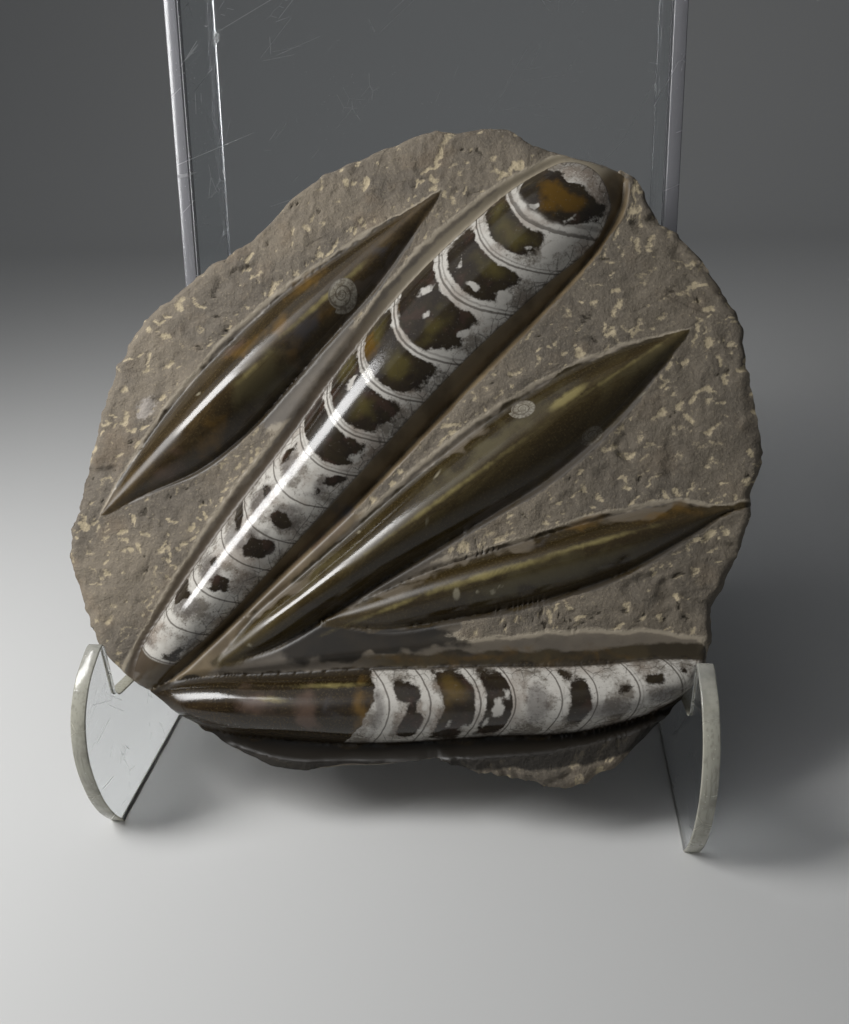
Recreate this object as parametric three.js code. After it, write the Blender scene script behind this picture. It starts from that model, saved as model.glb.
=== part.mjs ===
// An orthoceras fossil plate leaning on a clear acrylic stand.
// Units are millimetres, +Z is up, the polished face looks towards -Y, and the origin is on the
// ground under the middle of the object's box.

import * as THREE from 'three';
import { mergeVertices } from 'three/addons/utils/BufferGeometryUtils.js';

// Stand: flat sheets of one thickness, with its own ground plane at z = 0.
const SHEET = 6;
const STAND_WIDTH = 235;
const GLUE_GAP = 0.3;
const UPRIGHT_LEAN = THREE.MathUtils.degToRad(12.4);
const UPRIGHT_FRONT_Y = -21.2;
const STAND_HEIGHT = 330;
const UPRIGHT_CORNER = 8;
const PANEL_FOOT_Z = 12;
const SEAT_FRONT_Z = 51;
const LIP_WALL_Y = -134.5;
const LIP_TOP_Z = 77;
const SEAT_FILLET = 4;
const FOOT_REAR_Y = 36;

// Slab: u runs along its width, v up its face and w out of its face, from the foot of the face.
const SLAB_LEAN = THREE.MathUtils.degToRad(35);
const SLAB_FOOT = new THREE.Vector3(0, -130, 55);
const SLAB_CENTRE_V = 97;
const SLAB_THICKNESS = 30;
const EDGE_DROP = 5;
const BACK_SHRINK = 0.022;
const SLAB_CELLS = 40;
const EDGE_CELLS = 4;

// The broken outline, as [degrees anticlockwise from +u, distance from the slab's middle].
const OUTLINE = [
  [1, 142], [8, 140], [14, 141], [20, 144], [30, 144], [38, 143], [46, 143], [50, 148], [58, 145],
  [69, 142], [74, 145], [82, 141], [87, 140], [94, 134], [102, 129], [114, 124], [122, 118],
  [134, 117], [144, 121], [152, 126], [160, 130], [172, 131], [180, 133], [188, 137], [196, 145],
  [206, 147], [217, 147], [223, 144], [228, 140], [233, 139], [244, 137], [253, 135], [261, 128],
  [270, 125], [277, 124], [284, 130], [291, 138], [297, 147], [303, 149], [312, 147], [321, 146],
  [328, 143], [333, 137], [337, 137], [344, 138], [353, 139],
];

// A ridge's section is an arch from its crest down to its foot: 1 at the crest, falling as
// (1 - x ** crest) ** power with x running from 0 at the crest to 1 at the foot.
const LEAF = { leftPower: 1, rightPower: 0.9, crest: 1.75 };
const SHELL = { leftPower: 0.85, rightPower: 0.75, crest: 2 };
const LEFT_DEPTH_SHARE = 0.45;

// Each fossil ridge stands in a polished trough. A station is
// [distance along the axis, left rim, left foot, crest, right foot, right rim, height, depth],
// with left positive, the height from the face to the crest and the depth of the trough.
// The trough is shallower on the left.
const RIDGES = {
  leafUpperLeft: {
    from: [-127, 66],
    to: [13, 208],
    section: LEAF,
    stations: [
      [0, 0, 0, 0, 0, 0, 0, 0],
      [20, 7, 6, -0.5, -5.5, -7, 2.5, 1.2],
      [45, 14, 12, -1, -14, -17, 6, 2.5],
      [68, 18, 15.5, -1.5, -16.5, -19.5, 8.4, 3],
      [92, 19.5, 16.5, -1, -15, -18, 7.4, 3],
      [115, 19, 16, 0, -13, -16, 5.8, 2],
      [150, 13, 11, 0, -10, -13, 3.6, 1.5],
      [180, 6, 5, 0, -4.5, -6, 1.8, 1],
      [199, 0, 0, 0, 0, 0, 0, 0],
    ],
  },
  mainShell: {
    from: [-97, 8],
    to: [81, 213],
    section: SHELL,
    stations: [
      [-14, 8, 2, -1, -4, -8, -2, 2.5],
      [0, 12, 9, 0.5, -8, -11, 3, 3],
      [20, 17, 13, 1.5, -9.5, -13, 6, 3.5],
      [60, 25, 19, 3.5, -11.5, -15.5, 7, 4],
      [100, 29, 23, 4.5, -14.5, -18.5, 8, 4.5],
      [140, 34, 28, 6, -15.5, -19.5, 9, 4.5],
      [180, 38, 31, 7, -16.5, -20.5, 9, 4.5],
      [220, 36, 29, 5, -18, -21.5, 9, 4.5],
      [250, 28, 24, 3, -17, -20, 8, 4],
      [268, 20, 16, 2, -12, -16, 4, 3],
      [278, 12, 8, 2, -5, -9, -2, 2.5],
    ],
  },
  leafMiddle: {
    from: [-66, 12],
    to: [115, 146],
    section: LEAF,
    stations: [
      [-6, 1, 1, 0, -1, -2, 0, 0],
      [15, 9, 7, 0, -7, -9, 3.6, 2],
      [38, 11, 9.5, -0.5, -9, -11.5, 6.6, 2.5],
      [60, 13.5, 11.5, -0.5, -10, -12.5, 7.4, 2.5],
      [110, 19, 16, 1, -13.5, -16.5, 7, 2.5],
      [145, 20, 17, 2.5, -15, -19, 6.6, 2.5],
      [180, 16, 14, 3, -11.5, -14.5, 4.8, 2],
      [210, 7, 6, 0, -4.5, -6, 2, 1],
      [225, 0, 0, 0, 0, 0, 0, 0],
    ],
  },
  leafLower: {
    from: [-30, 26],
    to: [128, 73],
    section: LEAF,
    stations: [
      [0, 0, 0, 0, 0, 0, 0, 0],
      [20, 5, 4, -1, -8, -10, 2.4, 1.5],
      [50, 9.5, 8, -0.5, -12, -14.5, 5, 3],
      [85, 11, 9, 0, -14, -17, 6.5, 3.5],
      [120, 11.5, 9.5, 0, -12, -14.5, 5.5, 3],
      [148, 9, 7, 0, -5, -7, 2.5, 1.5],
      [164, 2, 0.6, 0, -0.6, -2, 0, 1.5],
      [180, 1.5, 0.5, 0, -0.5, -1.5, 0, 1.2],
    ],
  },
  lowerShell: {
    from: [-97, -6],
    to: [120, 12],
    section: SHELL,
    stations: [
      [-8, 2, 1, -1, -3, -4, -1, 1],
      [12, 8, 6, -3, -10, -13, 4.4, 3.5],
      [28, 9.5, 7, -4.5, -15, -19, 6.6, 4.5],
      [45, 11, 6.5, -6, -18, -25, 7.4, 6],
      [85, 14, 6.5, -7, -22, -29, 8, 7],
      [130, 16, 5.5, -7.5, -21.5, -29, 8, 7],
      [175, 17, 4, -7.5, -20, -25, 8, 6],
      [200, 15, 5, -5, -13, -17, 6, 4.5],
      [216, 12, 4, -1, -4, -8, 0, 3],
    ],
  },
};
const OUTSIDE = 1e3;

const STONE = new THREE.MeshStandardMaterial({ color: 0x8f8377, roughness: 0.6, metalness: 0 });
const ACRYLIC = new THREE.MeshStandardMaterial({
  color: 0xe8ecee,
  roughness: 0.08,
  metalness: 0,
  transparent: true,
  opacity: 0.3,
});

// The value in column `column` of a table of rows, interpolated smoothly on the first column.
function lookUp(rows, position, column) {
  if (position <= rows[0][0]) return rows[0][column];
  for (let i = 1; i < rows.length; i += 1) {
    if (position <= rows[i][0]) {
      const mix = THREE.MathUtils.smoothstep(position, rows[i - 1][0], rows[i][0]);
      return THREE.MathUtils.lerp(rows[i - 1][column], rows[i][column], mix);
    }
  }
  return rows[rows.length - 1][column];
}

const OUTLINE_RING = [
  [OUTLINE.at(-1)[0] - 360, OUTLINE.at(-1)[1]],
  ...OUTLINE,
  [OUTLINE[0][0] + 360, OUTLINE[0][1]],
];

function outlineRadius(angle) {
  const degrees = THREE.MathUtils.euclideanModulo(THREE.MathUtils.radToDeg(angle), 360);
  return lookUp(OUTLINE_RING, degrees, 1);
}

// One ridge's two surfaces over a point of the face: the trough it stands in, and its own body.
function ridgeAt(ridge, u, v) {
  const along = new THREE.Vector2(ridge.to[0] - ridge.from[0], ridge.to[1] - ridge.from[1]);
  along.normalize();
  const s = (u - ridge.from[0]) * along.x + (v - ridge.from[1]) * along.y;
  const t = (v - ridge.from[1]) * along.x - (u - ridge.from[0]) * along.y;
  const rows = ridge.stations;
  const nothing = { trough: OUTSIDE, body: -OUTSIDE };
  if (s <= rows[0][0] || s >= rows.at(-1)[0]) return nothing;
  const crest = lookUp(rows, s, 3);
  const left = t > crest;
  const rim = Math.abs(lookUp(rows, s, left ? 1 : 5) - crest);
  const foot = Math.abs(lookUp(rows, s, left ? 2 : 4) - crest);
  const height = lookUp(rows, s, 6);
  const depth = lookUp(rows, s, 7) * (left ? LEFT_DEPTH_SHARE : 1);
  const across = Math.abs(t - crest);
  if (across >= rim || foot <= 0) return nothing;
  const wall = THREE.MathUtils.clamp((across - foot) / (rim - foot), 0, 1);
  const trough = -depth * (1 - wall * wall);
  if (across >= foot) return { trough, body: -OUTSIDE };
  const power = left ? ridge.section.leftPower : ridge.section.rightPower;
  const round = (1 - (across / foot) ** ridge.section.crest) ** power;
  return { trough, body: -depth + (height + depth) * round };
}

// The height of the worked face: flat, cut by the troughs, with the ridges standing in them.
function faceHeight(u, v) {
  const parts = Object.values(RIDGES).map((ridge) => ridgeAt(ridge, u, v));
  const cut = Math.min(0, ...parts.map((part) => part.trough));
  return Math.max(cut, ...parts.map((part) => part.body));
}

// The low swells of the rough back.
function backSwell(u, v) {
  return 0.8 * Math.sin(u / 31) * Math.cos(v / 27);
}

// A cube's corner-to-corner square is drawn out into a disc whose rings follow the outline.
function discPoint(x, y) {
  const ring = Math.max(Math.abs(x), Math.abs(y));
  if (ring === 0) return { ring, u: 0, v: 0 };
  let angle = Math.PI / 2 - (Math.PI / 4) * (x / y);
  if (Math.abs(x) > Math.abs(y)) {
    angle = (Math.PI / 4) * (y / x);
  }
  if (Math.abs(x) > Math.abs(y) ? x < 0 : y < 0) {
    angle += Math.PI;
  }
  const radius = ring * outlineRadius(angle);
  return { ring, u: radius * Math.cos(angle), v: radius * Math.sin(angle) };
}

function slabPoint(x, y, z) {
  const disc = discPoint(x, y);
  const depthShare = (1 - z) / 2;
  const scale = 1 - BACK_SHRINK * depthShare;
  const u = disc.u * scale;
  const v = disc.v * scale + SLAB_CENTRE_V;
  const front = faceHeight(disc.u, disc.v + SLAB_CENTRE_V) - EDGE_DROP * disc.ring ** 20;
  const back = -SLAB_THICKNESS + backSwell(u, v) * (1 - disc.ring ** 8);
  return new THREE.Vector3(u, v, THREE.MathUtils.lerp(back, front, (z + 1) / 2));
}

function makeSlab() {
  const cube = new THREE.BoxGeometry(2, 2, 2, SLAB_CELLS, SLAB_CELLS, EDGE_CELLS);
  cube.deleteAttribute('normal');
  cube.deleteAttribute('uv');
  const geometry = mergeVertices(cube, 1e-5);
  const place = geometry.getAttribute('position');
  for (let i = 0; i < place.count; i += 1) {
    const point = slabPoint(place.getX(i), place.getY(i), place.getZ(i));
    place.setXYZ(i, point.x, point.y, point.z);
  }
  geometry.computeVertexNormals();
  const mesh = new THREE.Mesh(geometry, STONE);
  mesh.name = 'fossil_slab';
  mesh.position.copy(SLAB_FOOT);
  mesh.rotation.x = Math.PI / 2 - SLAB_LEAN;
  return mesh;
}

// How far back the upright's front edge is at a height.
function uprightY(z) {
  return UPRIGHT_FRONT_Y + z * Math.tan(UPRIGHT_LEAN);
}

// A side plate's profile: y to the rear as x, height as y. The foot ends in a lip, the seat slopes
// back at a right angle to the upright, and the upright's top corners are rounded.
function sideProfile() {
  const slope = Math.tan(UPRIGHT_LEAN);
  const seatZ = (y) => SEAT_FRONT_Z - (y - LIP_WALL_Y) * slope;
  const cornerZ = (seatZ(UPRIGHT_FRONT_Y)) / (1 + slope * slope);
  const rearTop = FOOT_REAR_Y + STAND_HEIGHT * slope;
  const up = new THREE.Vector2(Math.sin(UPRIGHT_LEAN), Math.cos(UPRIGHT_LEAN));
  const profile = new THREE.Shape();
  profile.moveTo(-151, 0);
  profile.lineTo(FOOT_REAR_Y, 0);
  profile.lineTo(rearTop - UPRIGHT_CORNER * up.x, STAND_HEIGHT - UPRIGHT_CORNER * up.y);
  profile.quadraticCurveTo(rearTop, STAND_HEIGHT, rearTop - UPRIGHT_CORNER, STAND_HEIGHT);
  profile.lineTo(uprightY(STAND_HEIGHT) + UPRIGHT_CORNER, STAND_HEIGHT);
  profile.quadraticCurveTo(
    uprightY(STAND_HEIGHT),
    STAND_HEIGHT,
    uprightY(STAND_HEIGHT - UPRIGHT_CORNER),
    STAND_HEIGHT - UPRIGHT_CORNER,
  );
  profile.lineTo(uprightY(cornerZ), cornerZ);
  profile.lineTo(LIP_WALL_Y + SEAT_FILLET, seatZ(LIP_WALL_Y + SEAT_FILLET));
  profile.quadraticCurveTo(LIP_WALL_Y, seatZ(LIP_WALL_Y), LIP_WALL_Y, SEAT_FRONT_Z + SEAT_FILLET);
  profile.lineTo(LIP_WALL_Y, LIP_TOP_Z - 2);
  profile.splineThru([
    new THREE.Vector2(LIP_WALL_Y - 1.7, LIP_TOP_Z),
    new THREE.Vector2(-141, 75.5),
    new THREE.Vector2(-151, 69.5),
    new THREE.Vector2(-159.5, 58.5),
    new THREE.Vector2(-163.5, 43),
    new THREE.Vector2(-162, 25),
    new THREE.Vector2(-157.5, 11),
    new THREE.Vector2(-151, 0),
  ]);
  return profile;
}

function makeSidePlate(name, innerX) {
  const settings = { depth: SHEET, bevelEnabled: false, curveSegments: 4 };
  const geometry = new THREE.ExtrudeGeometry(sideProfile(), settings);
  const upright = new THREE.Matrix4().makeBasis(
    new THREE.Vector3(0, 1, 0),
    new THREE.Vector3(0, 0, 1),
    new THREE.Vector3(1, 0, 0),
  );
  geometry.applyMatrix4(upright);
  const mesh = new THREE.Mesh(geometry, ACRYLIC);
  mesh.name = name;
  mesh.position.x = innerX;
  return mesh;
}

function makeBackPanel() {
  const width = STAND_WIDTH - 2 * SHEET - 2 * GLUE_GAP;
  const height = (STAND_HEIGHT - PANEL_FOOT_Z) / Math.cos(UPRIGHT_LEAN) - SHEET;
  const geometry = new THREE.BoxGeometry(width, SHEET, height);
  geometry.translate(0, SHEET / 2, height / 2);
  const mesh = new THREE.Mesh(geometry, ACRYLIC);
  mesh.name = 'back_panel';
  mesh.position.set(0, uprightY(PANEL_FOOT_Z), PANEL_FOOT_Z);
  mesh.rotation.x = -UPRIGHT_LEAN;
  return mesh;
}

function makePlateOnStand() {
  const stand = new THREE.Group();
  stand.add(makeSlab());
  stand.add(makeSidePlate('side_plate_left', -STAND_WIDTH / 2));
  stand.add(makeSidePlate('side_plate_right', STAND_WIDTH / 2 - SHEET));
  stand.add(makeBackPanel());
  const box = new THREE.Box3().setFromObject(stand, true);
  const middle = box.getCenter(new THREE.Vector3());
  stand.position.set(-middle.x, -middle.y, -box.min.z);
  const whole = new THREE.Group();
  whole.add(stand);
  whole.updateMatrixWorld(true);
  return whole;
}

export default makePlateOnStand();
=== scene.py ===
"""A limestone plate with polished orthoceras fossils, leaning on a clear acrylic stand.

The slab's own coordinates are millimetres: u to the right along the slab, v up its face and w out of
its face. The stand's are millimetres too, y to the rear and z up from the ground. Both are turned
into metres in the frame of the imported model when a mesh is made.
"""

import math

import bpy
import numpy as np
from bpy.props import FloatProperty, FloatVectorProperty, IntProperty, PointerProperty
from mathutils import Matrix, Vector


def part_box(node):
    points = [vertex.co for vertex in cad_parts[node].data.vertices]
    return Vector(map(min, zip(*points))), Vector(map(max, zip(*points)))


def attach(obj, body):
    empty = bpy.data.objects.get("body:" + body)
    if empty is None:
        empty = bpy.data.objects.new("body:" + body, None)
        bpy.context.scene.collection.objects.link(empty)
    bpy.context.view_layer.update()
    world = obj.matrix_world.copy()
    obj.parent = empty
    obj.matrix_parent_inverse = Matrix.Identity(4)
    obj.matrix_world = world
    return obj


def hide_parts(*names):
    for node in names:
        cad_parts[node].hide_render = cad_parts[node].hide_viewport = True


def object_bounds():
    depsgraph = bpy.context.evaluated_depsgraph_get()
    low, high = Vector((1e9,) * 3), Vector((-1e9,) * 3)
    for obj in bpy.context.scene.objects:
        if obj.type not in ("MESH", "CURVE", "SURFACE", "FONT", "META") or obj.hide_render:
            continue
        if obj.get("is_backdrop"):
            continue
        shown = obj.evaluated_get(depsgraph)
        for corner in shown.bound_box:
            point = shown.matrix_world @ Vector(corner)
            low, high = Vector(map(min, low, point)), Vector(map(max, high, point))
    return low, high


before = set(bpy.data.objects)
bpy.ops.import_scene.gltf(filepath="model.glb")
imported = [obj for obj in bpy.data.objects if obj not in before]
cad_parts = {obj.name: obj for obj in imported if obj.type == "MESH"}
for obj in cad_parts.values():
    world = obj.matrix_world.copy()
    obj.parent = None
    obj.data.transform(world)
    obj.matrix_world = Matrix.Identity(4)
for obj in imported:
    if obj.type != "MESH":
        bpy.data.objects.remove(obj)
CAD_BOX = [list(corner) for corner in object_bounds()]

bl_info = {
    "name": "Orthoceras plate",
    "version": (1, 0, 0),
    "blender": (4, 5, 0),
    "location": "3D View > Sidebar > Fossil plate",
    "description": "Makes a polished orthoceras plate on its clear stand, and the stage around it",
    "category": "Add Mesh",
}

MM = 0.001

# How far inside a shape a point is taken to be where the shape isn't near it (mm).
OUTSIDE = -9.0
FAR_OUTSIDE = -99.0

# The slab stands on its lower edge and leans back. Its foot is the face's u = v = 0.
SLAB_LEAN = math.radians(35)
SLAB_FOOT = np.array([0.0, -130.0, 55.0])
SLAB_MIDDLE_V = 97
SLAB_THICKNESS = 30
BACK_SHRINK = 0.022
BACK_BEVEL = 2.5
SIDE_STRIPS = 8

# The broken outline: degrees anticlockwise from +u, distance from the slab's middle.
OUTLINE = np.array([
    [1, 142], [8, 140], [14, 141], [20, 144], [30, 144], [38, 143], [46, 143], [50, 148], [58, 145],
    [69, 142], [74, 145], [82, 141], [87, 140], [94, 134], [102, 129], [114, 124], [122, 118],
    [134, 117], [144, 121], [152, 126], [160, 130], [172, 131], [180, 133], [188, 137], [196, 145],
    [206, 147], [217, 147], [223, 144], [228, 140], [233, 139], [244, 137], [253, 135], [261, 128],
    [270, 125], [277, 124], [284, 130], [291, 138], [297, 147], [303, 149], [312, 147], [321, 146],
    [328, 143], [333, 137], [337, 137], [344, 138], [353, 139],
], float)

# Each fossil ridge stands in a polished trough. A row is the distance along the axis, then the left
# rim, left foot, crest, right foot and right rim across it, the crest's height and the trough's depth.
RIDGES = {
    "leaf_upper": ((-127, 66), (13, 208), np.array([
        [0, 0, 0, 0, 0, 0, 0, 0],
        [20, 7, 6, -0.5, -5.5, -7, 2.5, 1.2],
        [45, 14, 12, -1, -14, -17, 6, 2.5],
        [68, 18, 15.5, -1.5, -16.5, -19.5, 8.4, 3],
        [92, 19.5, 16.5, -1, -15, -18, 7.4, 3],
        [115, 19, 16, 0, -13, -16, 5.8, 2],
        [150, 13, 11, 0, -10, -13, 3.6, 1.5],
        [180, 6, 5, 0, -4.5, -6, 1.8, 1],
        [199, 0, 0, 0, 0, 0, 0, 0],
    ])),
    "main_shell": ((-97, 8), (81, 213), np.array([
        [-14, 8, 2, -1, -4, -8, -2, 2.5],
        [0, 12, 9, 0.5, -8, -11, 3, 3],
        [20, 17, 13, 1.5, -9.5, -13, 6, 3.5],
        [60, 25, 19, 3.5, -11.5, -15.5, 7, 4],
        [100, 29, 23, 4.5, -14.5, -18.5, 8, 4.5],
        [140, 34, 28, 6, -15.5, -19.5, 9, 4.5],
        [180, 38, 31, 7, -16.5, -20.5, 9, 4.5],
        [220, 36, 29, 5, -18, -21.5, 9, 4.5],
        [250, 28, 24, 3, -17, -20, 8, 4],
        [268, 20, 16, 2, -12, -16, 4, 3],
        [278, 12, 8, 2, -5, -9, -2, 2.5],
    ])),
    "leaf_middle": ((-66, 12), (115, 146), np.array([
        [-6, 1, 1, 0, -1, -2, 0, 0],
        [15, 9, 7, 0, -7, -9, 3.6, 2],
        [38, 11, 9.5, -0.5, -9, -11.5, 6.6, 2.5],
        [60, 13.5, 11.5, -0.5, -10, -12.5, 7.4, 2.5],
        [110, 19, 16, 1, -13.5, -16.5, 7, 2.5],
        [145, 20, 17, 2.5, -15, -19, 6.6, 2.5],
        [180, 16, 14, 3, -11.5, -14.5, 4.8, 2],
        [210, 7, 6, 0, -4.5, -6, 2, 1],
        [225, 0, 0, 0, 0, 0, 0, 0],
    ])),
    "leaf_lower": ((-30, 26), (128, 73), np.array([
        [0, 0, 0, 0, 0, 0, 0, 0],
        [20, 5, 4, -1, -8, -10, 2.4, 1.5],
        [50, 9.5, 8, -0.5, -12, -14.5, 5, 3],
        [85, 11, 9, 0, -14, -17, 6.5, 3.5],
        [120, 11.5, 9.5, 0, -12, -14.5, 5.5, 3],
        [148, 9, 7, 0, -5, -7, 2.5, 1.5],
        [164, 2, 0.6, 0, -0.6, -2, 0, 1.5],
        [180, 1.5, 0.5, 0, -0.5, -1.5, 0, 1.2],
    ])),
    "lower_shell": ((-97, -6), (120, 12), np.array([
        [-8, 2, 1, -1, -3, -4, -1, 1],
        [12, 8, 6, -3, -10, -13, 4.4, 3.5],
        [28, 9.5, 7, -4.5, -15, -19, 6.6, 4.5],
        [45, 11, 6.5, -6, -18, -25, 7.4, 6],
        [85, 14, 6.5, -7, -22, -29, 8, 7],
        [130, 16, 5.5, -7.5, -21.5, -29, 8, 7],
        [175, 17, 4, -7.5, -20, -25, 8, 6],
        [200, 15, 5, -5, -13, -17, 6, 4.5],
        [216, 12, 4, -1, -4, -8, 0, 3],
    ])),
}
# A ridge's section: the powers on its left and its right, and the power of the distance from the
# crest. A power of the distance below 2 makes a crest with a keel.
SECTIONS = {"leaf": (1.0, 0.9, 1.75), "shell": (0.85, 0.75, 2.0)}
LEFT_DEPTH_SHARE = 0.45

# The shells' walls between chambers: places along the shell once the arcs' bow is taken out. An arc
# bows by its bend times the squared distance from the line through the arcs' tips.
MAIN_WALLS = [-16, 0.3, 16.7, 34.5, 52.5, 67, 85.5, 102.6, 120.1, 141.7, 162.4, 190, 213, 232.9, 300]
MAIN_RIGHT = np.array([
    [0, -6.5], [20, -8.5], [60, -9.5], [100, -10], [180, -11], [220, -14], [250, -16], [268, -10],
])
MAIN_TIPS = np.array([[0, 7], [60, 5.5], [140, 8], [250, 8]], float)
MAIN_BEND = 0.026
MAIN_END = 269
MAIN_END_BEND = 0.024
MAIN_END_MIDDLE = 5
CHAMBER_SPACING = 18
LOWER_WALLS = [78, 96.5, 112.3, 131.3, 144.3, 161.6, 174.5, 190, 206.5, 222]
LOWER_TIP = -7
LOWER_BEND = -0.041
LOWER_BROWN_END = 89.7

# Patches are ovals: middle (along, across), the turn in degrees, half length and half width (mm). On the
# shells they are laid out along the straightened chambers; elsewhere by u and v.
MAIN_DARK = [
    (5, -3.5, -25, 3.6, 1.9), (27, 12, 0, 4.8, 4.6), (40.5, 0.4, 0, 4.2, 4), (61, -0.5, 10, 5, 5.4),
    (63, 15, 0, 3.4, 4.4), (75.3, 0.8, 0, 3.6, 3.8), (94.6, 17, 0, 5, 2.1), (98.6, -5, 0, 3, 2.2),
    (92, -2, 0, 1.6, 1.4), (45, 8.5, 0, 2.2, 1.8), (80, 13, 0, 2.6, 2), (246.4, 7.5, 0, 12.4, 19),
]
MAIN_FILLED = [
    (112, 11, 0, 6.7, 16.5), (131.4, 12, 0, 8.7, 17.5), (152.6, 12.5, 0, 8.7, 18.5),
    (175.8, 13.5, 0, 11.6, 18.5), (202.6, 11, 0, 8.6, 17.5), (224.6, 12.5, 0, 6.7, 16),
]
MAIN_SMOKE = [
    (4.5, 7, 0, 2.6, 4.6), (26, 7, 0, 5.4, 8), (42, 7, 0, 5, 8), (59, 10, 0, 5, 8), (62, 1, 0, 6.5, 6.5),
    (75, 13, 0, 6, 5), (77, 0, 0, 7, 6), (14, -5, 0, 6, 2), (93, 14, 0, 6, 5), (94, -3, 0, 7, 4),
]
MAIN_OLIVE = [
    (152.5, 7.5, 0, 7.5, 6), (132, 6, 0, 6, 5), (174, 7, 0, 8.5, 4.6), (224.5, 9, 0, 5.5, 11),
    (208, 6, 0, 4, 8), (226, 23, 0, 5, 4), (150, 25, 0, 8, 5), (133, 25, 0, 6, 4),
]
MAIN_ORANGE = [
    (146.5, 23.5, 0, 5.2, 7), (249, 5, 0, 6, 12), (164.5, 26, 0, 1.6, 5), (4.6, 1.6, 0, 1.3, 1.2),
    (244, 6, 0, 6, 4),
]
MAIN_WHITE = [
    (180, 21, 0, 4.4, 1.9), (165, -2, 0, 4.2, 3.4), (177, -4, 0, 4, 1.9), (163, 21, 0, 3.2, 2.5),
    (198, -6.2, 0, 4.2, 2.7), (197.2, 7, 0, 2.4, 3.8), (240, 11, 0, 2.6, 2.8), (241, -4, 0, 2.2, 1.1),
    (199, 18, 20, 4, 1.0), (134.4, 18, 0, 2.6, 1.6), (226, -8, 0, 5.5, 4), (176.5, 13.5, 0, 2, 1.6),
    (112, -6, 0, 4, 1.4), (186, -8, 0, 3, 1.5), (222, 0, 0, 1.4, 1.0),
]
LOWER_DARK = [
    (104.4, -2.5, 0, 5, 4.3), (106.3, -15, 0, 4.2, 4.8), (104.8, -8, 0, 1.9, 3), (168.8, -9, 0, 4, 8.6),
    (185, -5, 28, 2.5, 1.3), (197.5, -2.4, -5, 3.2, 1.6), (209.5, 0.4, 0, 1.3, 1.6), (166, 0.5, 0, 1.8, 2),
]
LOWER_FILLED = [(123.3, -8, 0, 6.4, 13.5), (138.4, -8, 0, 5.2, 12.5)]
LOWER_SMOKE = [
    (93, -8, 0, 3, 13), (153, -9, 0, 5, 8), (180, -12, 0, 14, 4), (200, -8, 0, 10, 4), (138, 2, 0, 5, 3),
]
LOWER_OLIVE = [(122, -2.5, 0, 5, 6), (119, -6, 0, 2.5, 6)]
LOWER_WHITE = [
    (138, -10, 0, 2.4, 4), (141.5, -5, 0, 1.2, 2.4), (135, -15, 0, 1.2, 2), (128, -17, 0, 2, 1.2),
    (110, -8, 0, 1.2, 2), (121, -15, 0, 1.0, 1.4),
]
ORANGE_STAINS = [
    (-67, 138, 32, 8, 2.6), (-51, 148, 50, 5, 4), (-46, 137, 60, 3, 1.8), (-33, 153, 60, 3, 2.2),
    (-42, 169, 42, 9, 3.4), (-12, -8, 82, 9, 3.6), (70, 68, 20, 9, 2.4), (106, 72, 12, 10, 2),
    (0, 12, 6, 9, 1.2), (34, 14, 4, 14, 1.4), (72, 16, 5, 10, 1.2), (-80, 101, 60, 8, 3),
]
VEINS = [
    (-33, 160, 45, 22, 1.2), (-61, 129, 46, 7, 0.8), (66, 116, 38, 9, 2.2),
    (19, 76, 37, 34, 0.9), (86, 127, 36, 20, 0.5),
    (36, 45.4, 17.5, 27, 1.4), (74, 58, 17, 20, 0.9), (-2, 32, 22, 17, 0.7), (-46, -4.6, -3, 6, 1.0),
    (-24, 1.4, 3, 12, 0.9), (24, 4.2, 3, 7, 0.7),
]
PALE_SPOTS = [
    (24, 38, 85, 2.6, 1.5), (32, 39, 0, 0.9, 0.9), (38, 39, 0, 1.1, 1.0), (41, 41.3, 0, 1.3, 0.7),
    (-85, 118, 30, 1.4, 0.9), (15, 85, 60, 2.4, 0.8), (-16, 62, 0, 1.0, 0.8), (-58, 16, 0, 1.2, 0.9),
    (12, 66, 80, 1.6, 0.5), (96, 119, 40, 3, 0.5),
]
BLUE_GREY_STAINS = [
    (-42, 146, 56, 13, 3.6), (-22, -6, 80, 3.2, 2), (31, 15.6, 2, 4, 0.9), (-24, 70, 70, 5, 3),
    (-13, 180, 50, 7, 2.6), (56, 57, 15, 6, 1.5),
]
RED_STAINS = [
    (-54, -6, 5, 9, 4), (-33, -9, 80, 9, 7), (-96, 87, 45, 9, 3), (-72, 140, 50, 6, 3),
    (-33, 58, 40, 12, 2.5),
]
OLIVE_STAINS = [
    (-60, 124, 55, 17, 6.5), (36, 96, 40, 32, 4), (-30, 45, 42, 20, 3), (95, 130, 32, 20, 3),
    (60, 47, 17, 40, 5),
]

# Brown ground between the leaves' tips, and pale mottled spots on the open stone.
BROWN_GROUND = [(-6, 19, 8, 38, 5.5), (-30, 20, 20, 16, 6), (30, 24.5, 9, 26, 2.5)]
BRUISES = [(-110.3, 113.6, 62, 5.4, 3.9)]

# Bays of bare stone that reach in over the brown bodies, and the crowns that shine most.
BAYS = [
    (-10, 37, 16, 22, 2.4), (48, 58, 16, 7, 4.2), (97, 73, 16, 17, 3), (37, 70, 36, 13, 3.2),
    (70, 93, 36, 16, 3), (19, 57, 36, 8, 2.4), (-48, 35, 38, 20, 2.2), (25, 99, 36, 14, 2),
    (22, 50.5, 17, 20, 2.4), (104, 128, 40, 10, 2), (-15, 169, 45, 20, 2.2),
]
CROWNS = [(-79, 114, 45, 18, 10), (-35, 35, 36, 20, 9), (-71, -6, 5, 13, 8), (95, 9, 5, 14, 8)]

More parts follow.
